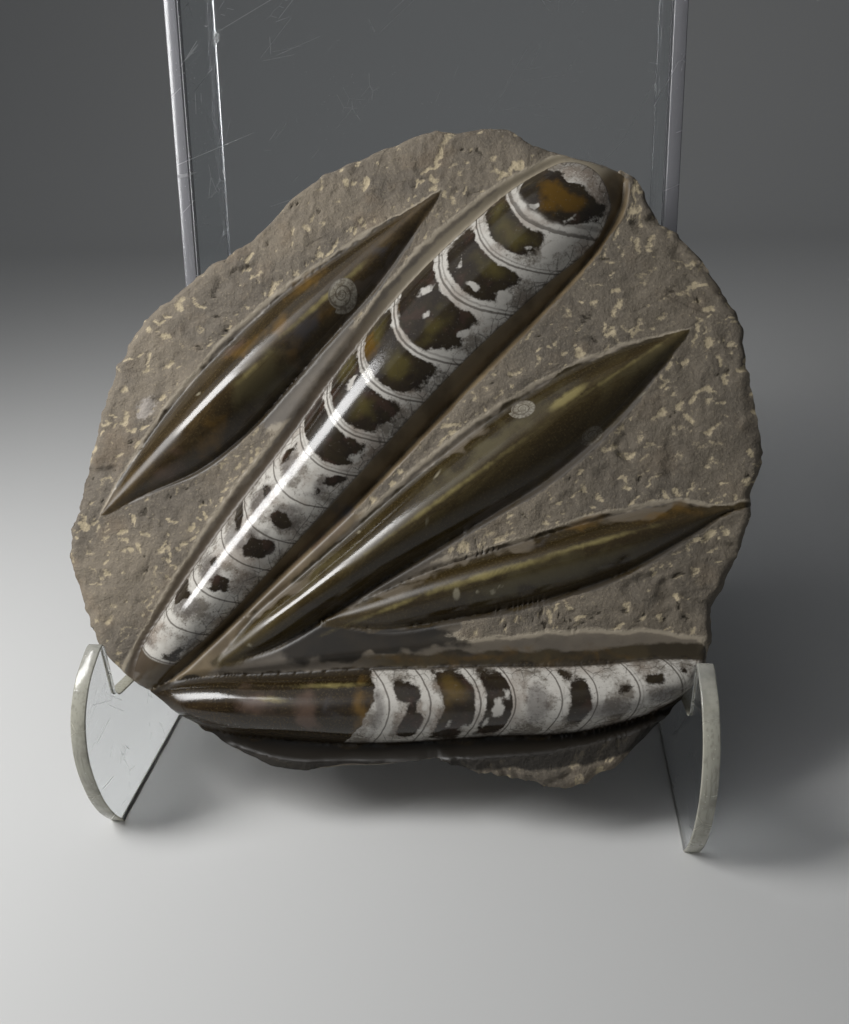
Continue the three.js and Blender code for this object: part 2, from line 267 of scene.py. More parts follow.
# Where the stone between ridges is dressed smooth, and where it is pitted.
DRESSED = [
    (-38, 128, 52, 30, 9), (-74, 12, 38, 24, 7), (-36, 48, 42, 33, 7), (-10, 34, 30, 34, 11),
    (-34, 12, 8, 58, 9), (-4, 22, 12, 32, 8), (-92, 2, 0, 12, 14),
]
PITTED = [
    (70, 31, 5, 46, 7), (8, 98, 45, 12, 3), (38, 122, 45, 13, 4), (-95, 74, 20, 12, 3), (-128, 87, 20, 9, 3),
]

# Steps where flakes have come away: middle, direction of the edge, half length, drop.
LEDGES = [
    (94, 46, 12, 9, 1.6), (106, 42, -70, 6, 1.8), (116, 38, 0, 9, 1.0), (88, 102, 125, 7, 1.0),
    (86, 94, 130, 6, 1.2), (-72, 176, 35, 8, 1.2), (-84, 168, 70, 6, 0.9), (-128, 88, 15, 9, 1.0),
    (104, 92, 80, 10, 0.8), (28, 209, 5, 5, 1.4), (96, 194, 35, 7, 1.6), (60, -30, 10, 14, 1.2),
    (116, 176, -40, 12, 1.5), (126, 61, -15, 9, 1.0),
]

# Small coiled shells: u, v, half size, how much flatter than long, the turn and how clear they are.
COILS = [(-27, 161.5, 7.6, 0.8, 70, 1.0), (48.5, 112.5, 5.4, 0.82, 15, 1.0), (76, 102.5, 5.2, 0.6, 35, 0.45)]

# The stand's sheets, in its own millimetres.
SHEET = 6
STAND_WIDTH = 235
UPRIGHT_LEAN = math.radians(12.4)
UPRIGHT_FRONT_Y = -21.2
STAND_HEIGHT = 330
UPRIGHT_CORNER = 8
PANEL_FOOT_Z = 12
SEAT_FRONT_Z = 51
LIP_WALL_Y = -134.5
LIP_TOP_Z = 77
LIP_BOW = [(-141, 75.5), (-151, 69.5), (-159.5, 58.5), (-163.5, 43), (-162, 25), (-157.5, 11)]
SEAT_FILLET = 4
FOOT_FRONT_Y = -151
FOOT_REAR_Y = 36
GLUE_GAP = 0.3

# The eye's place before the stand, the way it looks and how wide.
EYE = np.array([49.57, -397.26, 265.43])
EYE_PITCH = math.radians(26.19)
EYE_YAW = math.radians(7.31)
EYE_ROLL = math.radians(2.54)
LENS = 30.39

# The long light: the slab point it is aimed at, the way from there to it, its distance and size in
# metres.
KEY_AIM = (-58.0, 54.0, 6.0)
KEY_WAY = (-0.66, -0.24, 0.712)
KEY_DISTANCE = 0.6
KEY_SIZE = (0.39, 0.22)


def srgb(red, green, blue):
    """A colour on the 0 to 255 scale of paint charts, as the linear values the renderer uses."""
    scaled = [channel / 255 for channel in (red, green, blue)]
    return tuple(c / 12.92 if c <= 0.04045 else ((c + 0.055) / 1.055) ** 2.4 for c in scaled)


# The brown bodies' lighter and darker tones.
BODY_TONES = {
    "leaf_upper": (srgb(80, 65, 40), srgb(56, 44, 25)),
    "leaf_middle": (srgb(76, 65, 38), srgb(58, 47, 24)),
    "leaf_lower": (srgb(68, 56, 32), srgb(52, 41, 21)),
    "lower_shell": (srgb(50, 38, 22), srgb(31, 22, 10)),
}
PECKED_ROUGHNESS = 0.82
DRESSED_ROUGHNESS = 0.46
GLOSS_ROUGHNESS = (0.09, 0.18)


def colour(name, description, value):
    """A colour property."""
    return FloatVectorProperty(
        name=name, description=description, default=value, subtype="COLOR", size=3, min=0, max=1
    )


class SlabSettings(bpy.types.PropertyGroup):
    """Sizes and colours of the stone."""

    face_cells: IntProperty(
        name="Face cells", description="Grid cells along one side of the face", default=272, min=40, step=4
    )
    relief: FloatProperty(
        name="Relief", description="How far the ridges and troughs stand out", default=1.0, min=0, max=1.3
    )
    peck_depth: FloatProperty(
        name="Peck depth", description="Depth of the chisel marks", default=0.35 * MM, unit="LENGTH"
    )
    swell: FloatProperty(
        name="Swell", description="Height of the unworked lumps", default=1.0 * MM, unit="LENGTH"
    )
    matrix: colour("Matrix", "Pecked limestone", srgb(126, 116, 101))
    matrix_grey: colour("Matrix, grey", "Cooler patches of the limestone", srgb(106, 98, 87))
    dressed: colour("Dressed matrix", "Limestone where it is polished", srgb(116, 107, 94))
    chiselled: colour("Chisel marks", "Bruised stone under a chisel", srgb(190, 175, 144))
    calcite: colour("Calcite", "White chamber fills", srgb(192, 188, 180))
    calcite_grey: colour("Calcite, grey", "Clouded chamber fills", srgb(122, 116, 107))
    dark: colour("Dark", "Bituminous fills", srgb(38, 31, 24))
    olive: colour("Olive", "Olive brown bodies", srgb(88, 80, 54))
    vein: colour("Vein", "Yellow calcite veins", srgb(142, 130, 82))
    orange: colour("Orange", "Iron stains", srgb(104, 79, 36))
    red: colour("Red", "Reddish stains", srgb(96, 76, 64))
    blue_grey: colour("Blue grey", "Blue grey stains", srgb(66, 64, 66))
    spot: colour("Spot", "Small pale spots", srgb(150, 143, 122))


class StandSettings(bpy.types.PropertyGroup):
    """Sizes and colours of the acrylic."""

    edge_round: FloatProperty(
        name="Edge round", description="Rounding along the sheets' edges", default=0.5 * MM, unit="LENGTH"
    )
    tint: colour("Tint", "Colour of the clear sheet", (0.95, 0.97, 0.98))
    sawn: colour("Sawn edge", "Colour of the cut edges", (0.74, 0.72, 0.60))


class StageSettings(bpy.types.PropertyGroup):
    """The floor and the lights."""

    floor: colour("Floor", "Colour of the floor and backdrop", (0.60, 0.60, 0.59))
    key: FloatProperty(name="Key", description="Power of the long soft light", default=4.6, subtype="POWER")
    overhead: FloatProperty(
        name="Overhead", description="Power of the wide soft light", default=3.6, subtype="POWER"
    )
    air: FloatProperty(name="Air", description="Strength of the light from all round", default=0.10)


# Shapes


def curve(places, values, where):
    """A smooth curve through the values: each stretch is a cubic, and the slope at an inner value is
    that of the parabola through it and its neighbours. Beyond the ends it stays at the end value."""
    slopes = np.gradient(values, places)
    i = np.clip(np.searchsorted(places, where) - 1, 0, len(places) - 2)
    span = places[i + 1] - places[i]
    x = np.clip((where - places[i]) / span, 0, 1)
    start = (2 * x + 1) * (x - 1) ** 2 * values[i] + x * (x - 1) ** 2 * span * slopes[i]
    end = x * x * (3 - 2 * x) * values[i + 1] + x * x * (x - 1) * span * slopes[i + 1]
    return start + end


def ramp(value, low, high):
    """0 below low and 1 above high, with a smooth S between."""
    x = np.clip((value - low) / (high - low), 0, 1)
    return x * x * (3 - 2 * x)


def lumps(u, v, size, seed):
    """Smooth random lumps from -1 to 1: values drawn on a square lattice, eased between its points."""
    table = np.random.default_rng(seed).uniform(-1, 1, (128, 128))
    x, y = u / size + 40.5, v / size + 40.5
    i, j = np.floor(x).astype(int), np.floor(y).astype(int)
    fx, fy = ramp(x - i, 0, 1), ramp(y - j, 0, 1)
    corner = lambda a, b: table[(i + a) % 128, (j + b) % 128]
    low = corner(0, 0) * (1 - fx) + corner(1, 0) * fx
    high = corner(0, 1) * (1 - fx) + corner(1, 1) * fx
    return low * (1 - fy) + high * fy


def strokes(u, v, cell, seed, half_length, half_width, density):
    """Short round-ended strokes, at most one to each cell of a jittered lattice: 1 on a stroke's own
    line and falling evenly to 0 at its edge. Density is the share of cells that hold one."""
    table = np.random.default_rng(seed).random((64, 64, 6))
    i0, j0 = np.floor(u / cell).astype(int), np.floor(v / cell).astype(int)
    best = np.zeros_like(u)
    for di in (-1, 0, 1):
        for dj in (-1, 0, 1):
            i, j = i0 + di, j0 + dj
            r = table[i % 64, j % 64]
            du, dv = u - (i + r[..., 0]) * cell, v - (j + r[..., 1]) * cell
            turn = (r[..., 2] - 0.5) * 2.4 + 0.7
            along = du * np.cos(turn) + dv * np.sin(turn)
            across = dv * np.cos(turn) - du * np.sin(turn)
            beyond = np.maximum(np.abs(along) - half_length * r[..., 3], 0)
            width = half_width * (0.6 + 0.6 * r[..., 4])
            mark = 1 - np.hypot(beyond, across) / width
            best = np.maximum(best, np.where(r[..., 5] < density, mark, 0))
    return best


def outline_radius(angle):
    """Distance from the slab's middle to its outline at an angle, round and round."""
    places = np.concatenate([OUTLINE[-3:, 0] - 360, OUTLINE[:, 0], OUTLINE[:3, 0] + 360])
    values = np.concatenate([OUTLINE[-3:, 1], OUTLINE[:, 1], OUTLINE[:3, 1]])
    return curve(places, values, np.degrees(angle) % 360)


def ridge_frame(name, u, v):
    """A ridge's own measures at points of the face: along its axis, across from its crest, the
    distances from the crest to the foot and the rim on that side, its height and its trough's depth."""
    start, end, rows = RIDGES[name]
    axis = np.subtract(end, start) / np.hypot(*np.subtract(end, start))
    along = (u - start[0]) * axis[0] + (v - start[1]) * axis[1]
    off = (v - start[1]) * axis[0] - (u - start[0]) * axis[1]
    rim_left, foot_left, crest, foot_right, rim_right, height, depth = (
        curve(rows[:, 0], rows[:, column], along) for column in range(1, 8)
    )
    across = off - crest
    left = across > 0
    foot = np.maximum(np.where(left, foot_left - crest, crest - foot_right), 0.01)
    rim = np.maximum(np.where(left, rim_left - crest, crest - rim_right), 0.01)
    ends = np.minimum(along - rows[0, 0], rows[-1, 0] - along)
    left_power, right_power, crest_power = SECTIONS["shell" if name.endswith("shell") else "leaf"]
    return {
        "along": along, "off": off, "across": across, "foot": foot, "rim": rim,
        "height": height, "depth": np.where(left, LEFT_DEPTH_SHARE, 1.0) * depth, "ends": ends,
        "power": np.where(left, left_power, right_power), "crest_power": crest_power,
    }


def soft_max(a, b, blend):
    """The larger of two heights, with the corner between them rounded over the blend height."""
    near = np.clip(0.5 + 0.5 * (a - b) / blend, 0, 1)
    return b + (a - b) * near + blend * near * (1 - near)


def worked_face(u, v):
    """The face's height and its fields. Troughs are bowls between foot and rim cut into the flat;
    in each stands a ridge whose section is an arch, (1 - x to the crest power) to a power."""
    wobble = 0.7 * lumps(u, v, 7, 11) + 0.4 * lumps(u, v, 2.6, 12)
    cut = np.zeros_like(u)
    bodies = np.full_like(u, FAR_OUTSIDE)
    polish = np.full_like(u, FAR_OUTSIDE)
    upper = np.zeros_like(u)
    frames = {}
    for name in RIDGES:
        ridge = ridge_frame(name, u, v)
        off = np.abs(ridge["across"])
        inside_ends = ridge["ends"] > 0
        wall = np.clip((off - ridge["foot"]) / np.maximum(ridge["rim"] - ridge["foot"], 0.01), 0, 1)
        trough = np.where(inside_ends, -ridge["depth"] * (1 - wall**2) ** 1.5, 0)
        cut = -soft_max(-cut, -trough, 0.4)
        x = np.clip(off / ridge["foot"], 0, 1)
        profile = (1 - x ** ridge["crest_power"]) ** ridge["power"]
        arch = (ridge["height"] + ridge["depth"]) * profile - ridge["depth"]
        bodies = np.maximum(bodies, np.where(inside_ends & (x < 1), arch, FAR_OUTSIDE))
        inside = np.minimum(ridge["rim"] - off, 0.5 * ridge["ends"]) + wobble
        nearer = inside > polish
        # Which side of its crest the nearest rim lies on; the material paints a highlight along the upper
        # rims.
        upper = np.where(nearer, ramp(ridge["across"], -2, 2), upper)
        polish = np.where(nearer, inside, polish)
        ridge["inside"] = np.minimum(ridge["foot"] - off, 0.5 * ridge["ends"])
        frames[name] = ridge
    dressed = patches(u, v, DRESSED) + wobble
    polish = np.maximum(polish, dressed)
    return soft_max(cut, bodies, 1.6), polish, upper, frames


def ledges(u, v):
    """Steps along short edges: the stone drops just below an edge and eases back over some
    millimetres, fading towards the edge's ends."""
    drop = np.zeros_like(u)
    ragged = 1.1 * lumps(u, v, 3.2, 61) + 1.6 * lumps(u, v, 8, 62)
    for middle_u, middle_v, degrees, half_length, depth in LEDGES:
        turn = math.radians(degrees)
        along = (u - middle_u) * math.cos(turn) + (v - middle_v) * math.sin(turn)
        below = (u - middle_u) * math.sin(turn) - (v - middle_v) * math.cos(turn) + ragged
        fade = 1 - ramp(np.abs(along), 0.5 * half_length, half_length)
        drop = np.maximum(drop, depth * fade * ramp(below, -0.5, 0.8) * (1 - ramp(below, 2, 9)))
    return drop


def pecked_face(u, v, polish, settings):
    """The unpolished stone's own relief: broad lumps, hackles, chisel marks, pits and ledges. Returns
    the height, and how strongly a point lies on a chisel mark and in a pit."""
    open_stone = 1 - ramp(polish, -1.2, 0.6)
    near_rim = ramp(polish, -8, -1.5) * open_stone
    warped_u = u + 1.3 * lumps(u, v, 2.4, 71) + 1.2 * lumps(u, v, 5.5, 72)
    warped_v = v + 1.3 * lumps(u, v, 2.4, 73) + 1.2 * lumps(u, v, 5.5, 74)
    crowd = 0.34 + 0.34 * ramp(u, 30, 90) * ramp(v, 60, 110) + 0.2 * lumps(u, v, 38, 6)
    rows = near_rim * ramp(lumps(u, v, 24, 5), -0.45, 0.35)
    big = strokes(warped_u, warped_v, 7.0, 21, 2.2, 1.8, crowd)
    small = strokes(warped_u, warped_v, 3.7, 22, 1.3, 1.35, 0.12 + 0.8 * rows)
    chisel = np.maximum(big, small) * open_stone * (0.55 + 0.45 * ramp(lumps(u, v, 6, 24), -0.6, 0.6))
    pit_share = ramp(patches(u, v, PITTED), -1, 3) + 0.08
    pits = strokes(warped_u, warped_v, 4.4, 23, 1.0, 1.15, 0.5 * pit_share) * open_stone
    lump = settings.swell / MM
    hackle = 0.9 * np.abs(lumps(warped_u, v, 9, 2)) + 0.55 * np.abs(lumps(u, warped_v, 4.2, 3))
    swell = lump * (0.9 * lumps(u, v, 34, 1) + 0.5 * lumps(u, v, 14, 7) - hackle + 0.5)
    grain = 0.12 * lumps(u, v, 2.1, 4)
    height = (0.85 * swell + grain - ledges(u, v)) * (1 - ramp(polish, -4.5, 0.3))
    height = height - settings.peck_depth / MM * ramp(chisel, 0.1, 0.6) - 0.8 * ramp(pits, 0.1, 0.6)
    return height, chisel, pits


def patches(x, y, rows, power=2.0):
    """Rounded patches: about how many millimetres a point lies inside the nearest one (negative
    outside): its smaller half size times 1 less its own norm. Power 2 makes an oval and more a
    rounded rectangle."""
    best = np.full_like(x, OUTSIDE)
    for middle_x, middle_y, degrees, half_length, half_width in rows:
        turn = math.radians(degrees)
        along = (x - middle_x) * math.cos(turn) + (y - middle_y) * math.sin(turn)
        across = (y - middle_y) * math.cos(turn) - (x - middle_x) * math.sin(turn)
        norm = (np.abs(along / half_length) ** power + np.abs(across / half_width) ** power) ** (1 / power)
        best = np.maximum(best, (1 - norm) * min(half_length, half_width))
    return best


def straightened(ridge, tips, bend):
    """The place along a shell with its arcs' bow taken out: the distance along, less the bend times
    the squared distance from the line through the arcs' tips."""
    return ridge["along"] - bend * (ridge["off"] - tips) ** 2


def wall_count(place, walls):
    """How many walls have been passed, running evenly from each whole number to the next."""
    return np.interp(place, walls, np.arange(len(walls)))


def slab_disc(cells):
    """A square grid drawn out into a disc of rings: the ring is the larger of |x| and |y|, and the
    angle runs evenly along the ring. Returns ring and angle for each grid point, row by row."""
    line = np.linspace(-1, 1, cells + 1)
    x, y = (side.ravel() for side in np.meshgrid(line, line))
    ring = np.maximum(np.abs(x), np.abs(y))
    safe = np.where(ring == 0, 1, ring)
    wide = np.abs(x) > np.abs(y)
    angle = np.where(wide, math.pi / 4 * y / np.where(wide, x, safe), 0)
    tall_angle = math.pi / 2 - math.pi / 4 * x / np.where(wide | (ring == 0), safe, y)
    angle = np.where(wide, angle, tall_angle)
    turned = np.where(wide, x < 0, y < 0)
    return ring, angle + np.where(turned, math.pi, 0)


def grid_edge(cells):
    """Indices of the grid's boundary points, anticlockwise from the first corner."""
    index = np.arange((cells + 1) ** 2).reshape(cells + 1, cells + 1)
    return np.concatenate([index[0, :-1], index[:-1, -1], index[-1, :0:-1], index[:0:-1, 0]])


def grid_quads(cells, first):
    """The grid's square faces, facing +w, counting its points from first."""
    index = np.arange((cells + 1) ** 2).reshape(cells + 1, cells + 1) + first
    corners = (index[:-1, :-1], index[:-1, 1:], index[1:, 1:], index[1:, :-1])
    return np.stack([corner.ravel() for corner in corners], axis=1)


def edge_radius(angle, share):
    """The broken side's distance from the middle, share 0 at the face and 1 at the back: the outline,
    drawn in a little towards the back, with flaked facets and grain on it."""
    radius = outline_radius(angle)
    arc = radius * angle
    flakes = 1.3 * np.abs(lumps(arc, share * 30, 11, 31)) + 0.6 * lumps(arc, share * 30, 4, 32)
    fine = 0.35 * lumps(arc, share * 30, 1.9, 33)
    belly = 1.2 * np.sin(math.pi * share)
    return radius * (1 - BACK_SHRINK * share) - flakes - fine + belly


def edge_drop(angle, inward):
    """How far the face falls away near its outline, inward being the distance from it: a chipped
    chamfer, wider and deeper in some places than in others."""
    arc = outline_radius(angle) * angle
    width = 2.5 + 4.5 * ramp(lumps(arc, arc * 0, 33, 41), -0.1, 0.8) + 1.0 * lumps(arc, arc * 0, 7, 42)
    depth = 1.5 + 3.0 * ramp(lumps(arc, arc * 0, 27, 43), -0.1, 0.8) + 0.5 * lumps(arc, arc * 0, 5, 44)
    return depth * np.clip(1 - inward / width, 0, 1) ** 1.25


def slab_to_frame(points, shift):
    """Slab millimetres to the frame's metres: v runs up the leaning face, w out of it."""
    lean_sin, lean_cos = math.sin(SLAB_LEAN), math.cos(SLAB_LEAN)
    u, v, w = points.T
    y = v * lean_sin - w * lean_cos
    z = v * lean_cos + w * lean_sin
    return (np.stack([u, y, z], axis=1) + SLAB_FOOT + shift) * MM


def stand_shift():
    """From the stand's own millimetres to the frame's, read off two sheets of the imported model."""
    side_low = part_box("side_plate_right")[0]
    panel_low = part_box("back_panel")[0]
    panel_y = UPRIGHT_FRONT_Y + PANEL_FOOT_Z * math.tan(UPRIGHT_LEAN)
    return np.array([side_low.x / MM - (STAND_WIDTH / 2 - SHEET), panel_low.y / MM - panel_y, 0.0])


def make_object(name, points, faces, materials, body="root"):
    """A mesh object in the frame's metres that rides on a body, smooth but for its real corners."""
    mesh = bpy.data.meshes.new(name)
    mesh.from_pydata(points.tolist(), [], faces)
    mesh.validate()
    for material in materials:
        mesh.materials.append(material)
    mesh.polygons.foreach_set("use_smooth", np.ones(len(mesh.polygons), bool))
    mesh.set_sharp_from_angle(angle=math.radians(65))
    piece = bpy.data.objects.new(name, mesh)
    bpy.context.scene.collection.objects.link(piece)
    if body:
        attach(piece, body)
    return piece


def add_field(mesh, name, *channels):
    """Up to three numbers at each point, which a material reads by name."""
    field = mesh.attributes.new(name, "FLOAT_VECTOR", "POINT")
    padded = list(channels) + [np.zeros_like(channels[0])] * (3 - len(channels))
    field.data.foreach_set("vector", np.stack(padded, axis=1).astype(np.float32).ravel())


def slab_fields(mesh, u, v, polish, upper, chisel, pits, frames, front):
    """Writes what the stone's material needs to know about each point."""
    on_face = lambda value: np.where(front, value, FAR_OUTSIDE)
    warp_u = u + 3.0 * lumps(u, v, 7, 81) + 1.3 * lumps(u, v, 2.8, 82)
    warp_v = v + 3.0 * lumps(u, v, 7, 83) + 1.3 * lumps(u, v, 2.8, 84)
    add_field(mesh, "worked", on_face(polish), upper, chisel)
    add_field(mesh, "broken", pits, np.where(front, 0, 1), patches(warp_u, warp_v, BAYS))
    for name in ("leaf_upper", "leaf_middle", "leaf_lower", "lower_shell"):
        ridge = frames[name]
        add_field(mesh, name, ridge["along"], ridge["across"], on_face(ridge["inside"]))
    main, lower = frames["main_shell"], frames["lower_shell"]
    right_edge = main["off"] - curve(MAIN_RIGHT[:, 0], MAIN_RIGHT[:, 1], main["along"])
    end_bend = MAIN_END_BEND * (main["off"] - MAIN_END_MIDDLE) ** 2
    round_end = MAIN_END - end_bend - main["along"]
    main_inside = np.minimum(np.minimum(main["inside"], right_edge), round_end)
    place = straightened(main, curve(MAIN_TIPS[:, 0], MAIN_TIPS[:, 1], main["along"]), MAIN_BEND)
    t = main["off"]
    warp_s = place + 1.6 * lumps(place, t, 4.5, 91) + 0.8 * lumps(place, t, 2.1, 92)
    warp_t = t + 1.8 * lumps(place, t, 4.5, 93) + 0.8 * lumps(place, t, 2.1, 94)
    dark = np.maximum(patches(warp_s, warp_t, MAIN_DARK), patches(place, t, MAIN_FILLED, 5))
    add_field(mesh, "main_shell", place, t, on_face(main_inside))
    add_field(mesh, "main_dark", dark, patches(warp_s, warp_t, MAIN_SMOKE), wall_count(place, MAIN_WALLS))
    add_field(
        mesh, "main_tints", patches(warp_s, warp_t, MAIN_OLIVE), patches(warp_s, warp_t, MAIN_ORANGE),
        patches(warp_s, warp_t, MAIN_WHITE),
    )
    place = straightened(lower, LOWER_TIP, LOWER_BEND)
    t = lower["off"]
    dark = np.maximum(patches(place, t, LOWER_DARK, 3), patches(place, t, LOWER_FILLED, 5))
    add_field(mesh, "lower_place", place, t)
    add_field(mesh, "lower_dark", dark, patches(place, t, LOWER_SMOKE), wall_count(place, LOWER_WALLS))
    no_orange = np.full_like(u, OUTSIDE)
    add_field(mesh, "lower_tints", patches(place, t, LOWER_OLIVE), no_orange, patches(place, t, LOWER_WHITE))
    # Painted shade: where the right sides of the ridges and the right walls of the troughs lie in shadow,
    # which the material paints darker.
    painted_lee_shade = [
        ramp(-ridge["across"], 0, 3) * ramp(np.minimum(ridge["rim"] + ridge["across"], ridge["ends"]), -4, 1)
        for ridge in frames.values()
    ]
    add_field(mesh, "crowns", patches(u, v, CROWNS), np.max(painted_lee_shade, axis=0), patches(u, v, BRUISES))
    add_field(mesh, "grounds", patches(warp_u, warp_v, BROWN_GROUND), main["along"], main["across"])
    orange = patches(warp_u, warp_v, ORANGE_STAINS)
    add_field(mesh, "stains", orange, patches(u, v, VEINS), patches(u, v, PALE_SPOTS))
    add_field(
        mesh, "more_stains", patches(warp_u, warp_v, BLUE_GREY_STAINS), patches(warp_u, warp_v, RED_STAINS),
        patches(warp_u, warp_v, OLIVE_STAINS),
    )


def make_slab(settings, material):
    """The stone: a worked face on a fine grid, a flaked side in strips and a back on a coarser grid,
    joined to the side by many-sided faces, all one closed skin."""
    cells = settings.face_cells
    back_cells = cells // 4
    ring, angle = slab_disc(cells)
    radius = ring * edge_radius(angle, 0)
    u, v = radius * np.cos(angle), radius * np.sin(angle) + SLAB_MIDDLE_V
    worked, polish, _, _ = worked_face(u, v)
    rough, _, _ = pecked_face(u, v, polish, settings)
    face_w = worked * settings.relief + rough - edge_drop(angle, edge_radius(angle, 0) - radius)
    points = [np.stack([u, v, face_w], axis=1)]

    rim = grid_edge(cells)
    rim_angle = angle[rim]
    back_w = -SLAB_THICKNESS
    for strip in range(1, SIDE_STRIPS + 1):
        share = strip / SIDE_STRIPS
        r = edge_radius(rim_angle, share)
        w = face_w[rim] + (back_w - face_w[rim]) * share
        w = w + 0.5 * lumps(r * rim_angle, w, 6, 35) * math.sin(math.pi * share)
        points.append(np.stack([r * np.cos(rim_angle), r * np.sin(rim_angle) + SLAB_MIDDLE_V, w], axis=1))

    back_ring, back_angle = slab_disc(back_cells)
    r = back_ring * (edge_radius(back_angle, 1) - BACK_BEVEL)
    back_u, back_v = r * np.cos(back_angle), r * np.sin(back_angle) + SLAB_MIDDLE_V
    saw = 0.8 * np.sin(back_u / 31) * np.cos(back_v / 27) + 0.25 * lumps(back_u, back_v, 9, 51)
    back = back_w + saw * (1 - back_ring**8)
    points.append(np.stack([back_u, back_v, back], axis=1))

    count = len(rim)
    faces = grid_quads(cells, 0).tolist()
    rings = [rim] + [len(u) + strip * count + np.arange(count) for strip in range(SIDE_STRIPS)]
    for upper_ring, lower_ring in zip(rings, rings[1:]):
        side = (upper_ring, lower_ring, np.roll(lower_ring, -1), np.roll(upper_ring, -1))
        faces += np.stack(side, axis=1).tolist()
    first_back = len(u) + SIDE_STRIPS * count
    coarse = grid_edge(back_cells) + first_back
    fine = rings[-1].reshape(-1, 4)
    fine_next = np.roll(fine[:, 0], -1)
    joint = (fine[:, 0], coarse, np.roll(coarse, -1), fine_next, fine[:, 3], fine[:, 2], fine[:, 1])
    faces += np.stack(joint, axis=1).tolist()
    faces += grid_quads(back_cells, first_back)[:, ::-1].tolist()

    points = np.concatenate(points)
    slab = make_object("fossil_plate", slab_to_frame(points, stand_shift()), faces, [material])
    all_u, all_v = points[:, 0], points[:, 1]
    front = np.arange(len(points)) < len(u)
    _, polish, upper, frames = worked_face(all_u, all_v)
    _, chisel, pits = pecked_face(all_u, all_v, np.where(front, polish, FAR_OUTSIDE), settings)
    slab_fields(slab.data, all_u, all_v, polish, upper, chisel, pits, frames, front)
    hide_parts("fossil_slab")
    return slab


def bend(start, corner, end, steps):
    """A corner eased into a parabola from start to end."""
    x = np.linspace(0, 1, steps)[:, None]
    return (1 - x) ** 2 * np.array(start) + 2 * x * (1 - x) * np.array(corner) + x * x * np.array(end)


def spline(knots, steps):
    """A smooth curve through the knots: cubics whose slope at a knot is half the step from the knot
    before to the knot after."""
    knots = np.array(knots, float)
    before = np.vstack([knots[:1], knots[:-1]])
    after = np.vstack([knots[1:], knots[-1:]])
    slope = (after - before) / 2
    x = np.linspace(0, 1, steps, endpoint=False)[:, None]
    pieces = []
    for i in range(len(knots) - 1):
        start = (2 * x + 1) * (x - 1) ** 2 * knots[i] + x * (x - 1) ** 2 * slope[i]
        end = x * x * (3 - 2 * x) * knots[i + 1] + x * x * (x - 1) * slope[i + 1]
        pieces.append(start + end)
    return np.vstack(pieces)


def side_profile():
    """The side plates' outline as (y, z) points, anticlockwise: flat foot, upright leaning back, seat
    at a right angle to it, hooked lip and a bowed front."""
    slope = math.tan(UPRIGHT_LEAN)
    top = STAND_HEIGHT
    front_top = UPRIGHT_FRONT_Y + top * slope
    rear_top = FOOT_REAR_Y + top * slope
    down_y = UPRIGHT_CORNER * math.sin(UPRIGHT_LEAN)
    down_z = UPRIGHT_CORNER * math.cos(UPRIGHT_LEAN)
    seat = lambda y: SEAT_FRONT_Z - (y - LIP_WALL_Y) * slope
    heel_z = seat(UPRIGHT_FRONT_Y) / (1 + slope * slope)
    heel = (UPRIGHT_FRONT_Y + heel_z * slope, heel_z)
    fillet_y, fillet_z = LIP_WALL_Y + SEAT_FILLET, SEAT_FRONT_Z + SEAT_FILLET
    lip_top = [(LIP_WALL_Y, LIP_TOP_Z - 2), (LIP_WALL_Y - 1.7, LIP_TOP_Z)]
    parts = [
        np.array([(FOOT_FRONT_Y, 0), (FOOT_REAR_Y, 0)]),
        bend((rear_top - down_y, top - down_z), (rear_top, top), (rear_top - UPRIGHT_CORNER, top), 8),
        bend((front_top + UPRIGHT_CORNER, top), (front_top, top), (front_top - down_y, top - down_z), 8),
        bend((heel[0] + 0.4, heel[1] + 2), heel, (heel[0] - 2, heel[1] + 0.4), 4),
        bend((fillet_y, seat(fillet_y)), (LIP_WALL_Y, SEAT_FRONT_Z), (LIP_WALL_Y, fillet_z), 7),
        spline([*lip_top, *LIP_BOW, (FOOT_FRONT_Y, 0)], 8),
    ]
    return np.vstack(parts)


def sheet_mesh(name, profile, thickness, rounding, place, materials):
    """A flat sheet cut to a closed anticlockwise profile: rings of the profile carried through the
    thickness and drawn in at both faces, so that the cut edges are slightly rounded."""
    gaps = np.hypot(*(np.roll(profile, -1, axis=0) - profile).T)
    profile = profile[gaps > 0.02]
    step = np.roll(profile, -1, axis=0) - profile
    normal = np.stack([step[:, 1], -step[:, 0]], axis=1) / np.hypot(*step.T)[:, None]
    outward = normal + np.roll(normal, 1, axis=0)
    outward = outward / np.maximum(np.sum(outward * normal, axis=1), 0.6)[:, None]
    soft = 0.3 * rounding
    section = [
        (0, rounding), (soft, soft), (rounding, 0),
        (thickness - rounding, 0), (thickness - soft, soft), (thickness, rounding),
    ]
    points = np.vstack([
        np.column_stack([profile - outward * inset, np.full(len(profile), height)])
        for height, inset in section
    ])
    count = len(profile)
    faces = [list(range(count))[::-1], [(len(section) - 1) * count + i for i in range(count)]]
    around = np.arange(count)
    for ring in range(len(section) - 1):
        low = ring * count + around
        high = low + count
        faces += np.stack([low, np.roll(low, -1), np.roll(high, -1), high], axis=1).tolist()
    piece = make_object(name, place(points), faces, materials)
    slots = np.ones(len(faces), np.int32)
    slots[:2] = 0
    piece.data.polygons.foreach_set("material_index", slots)
    piece.data.polygons.foreach_set("use_smooth", slots.astype(bool))
    return piece


# Materials


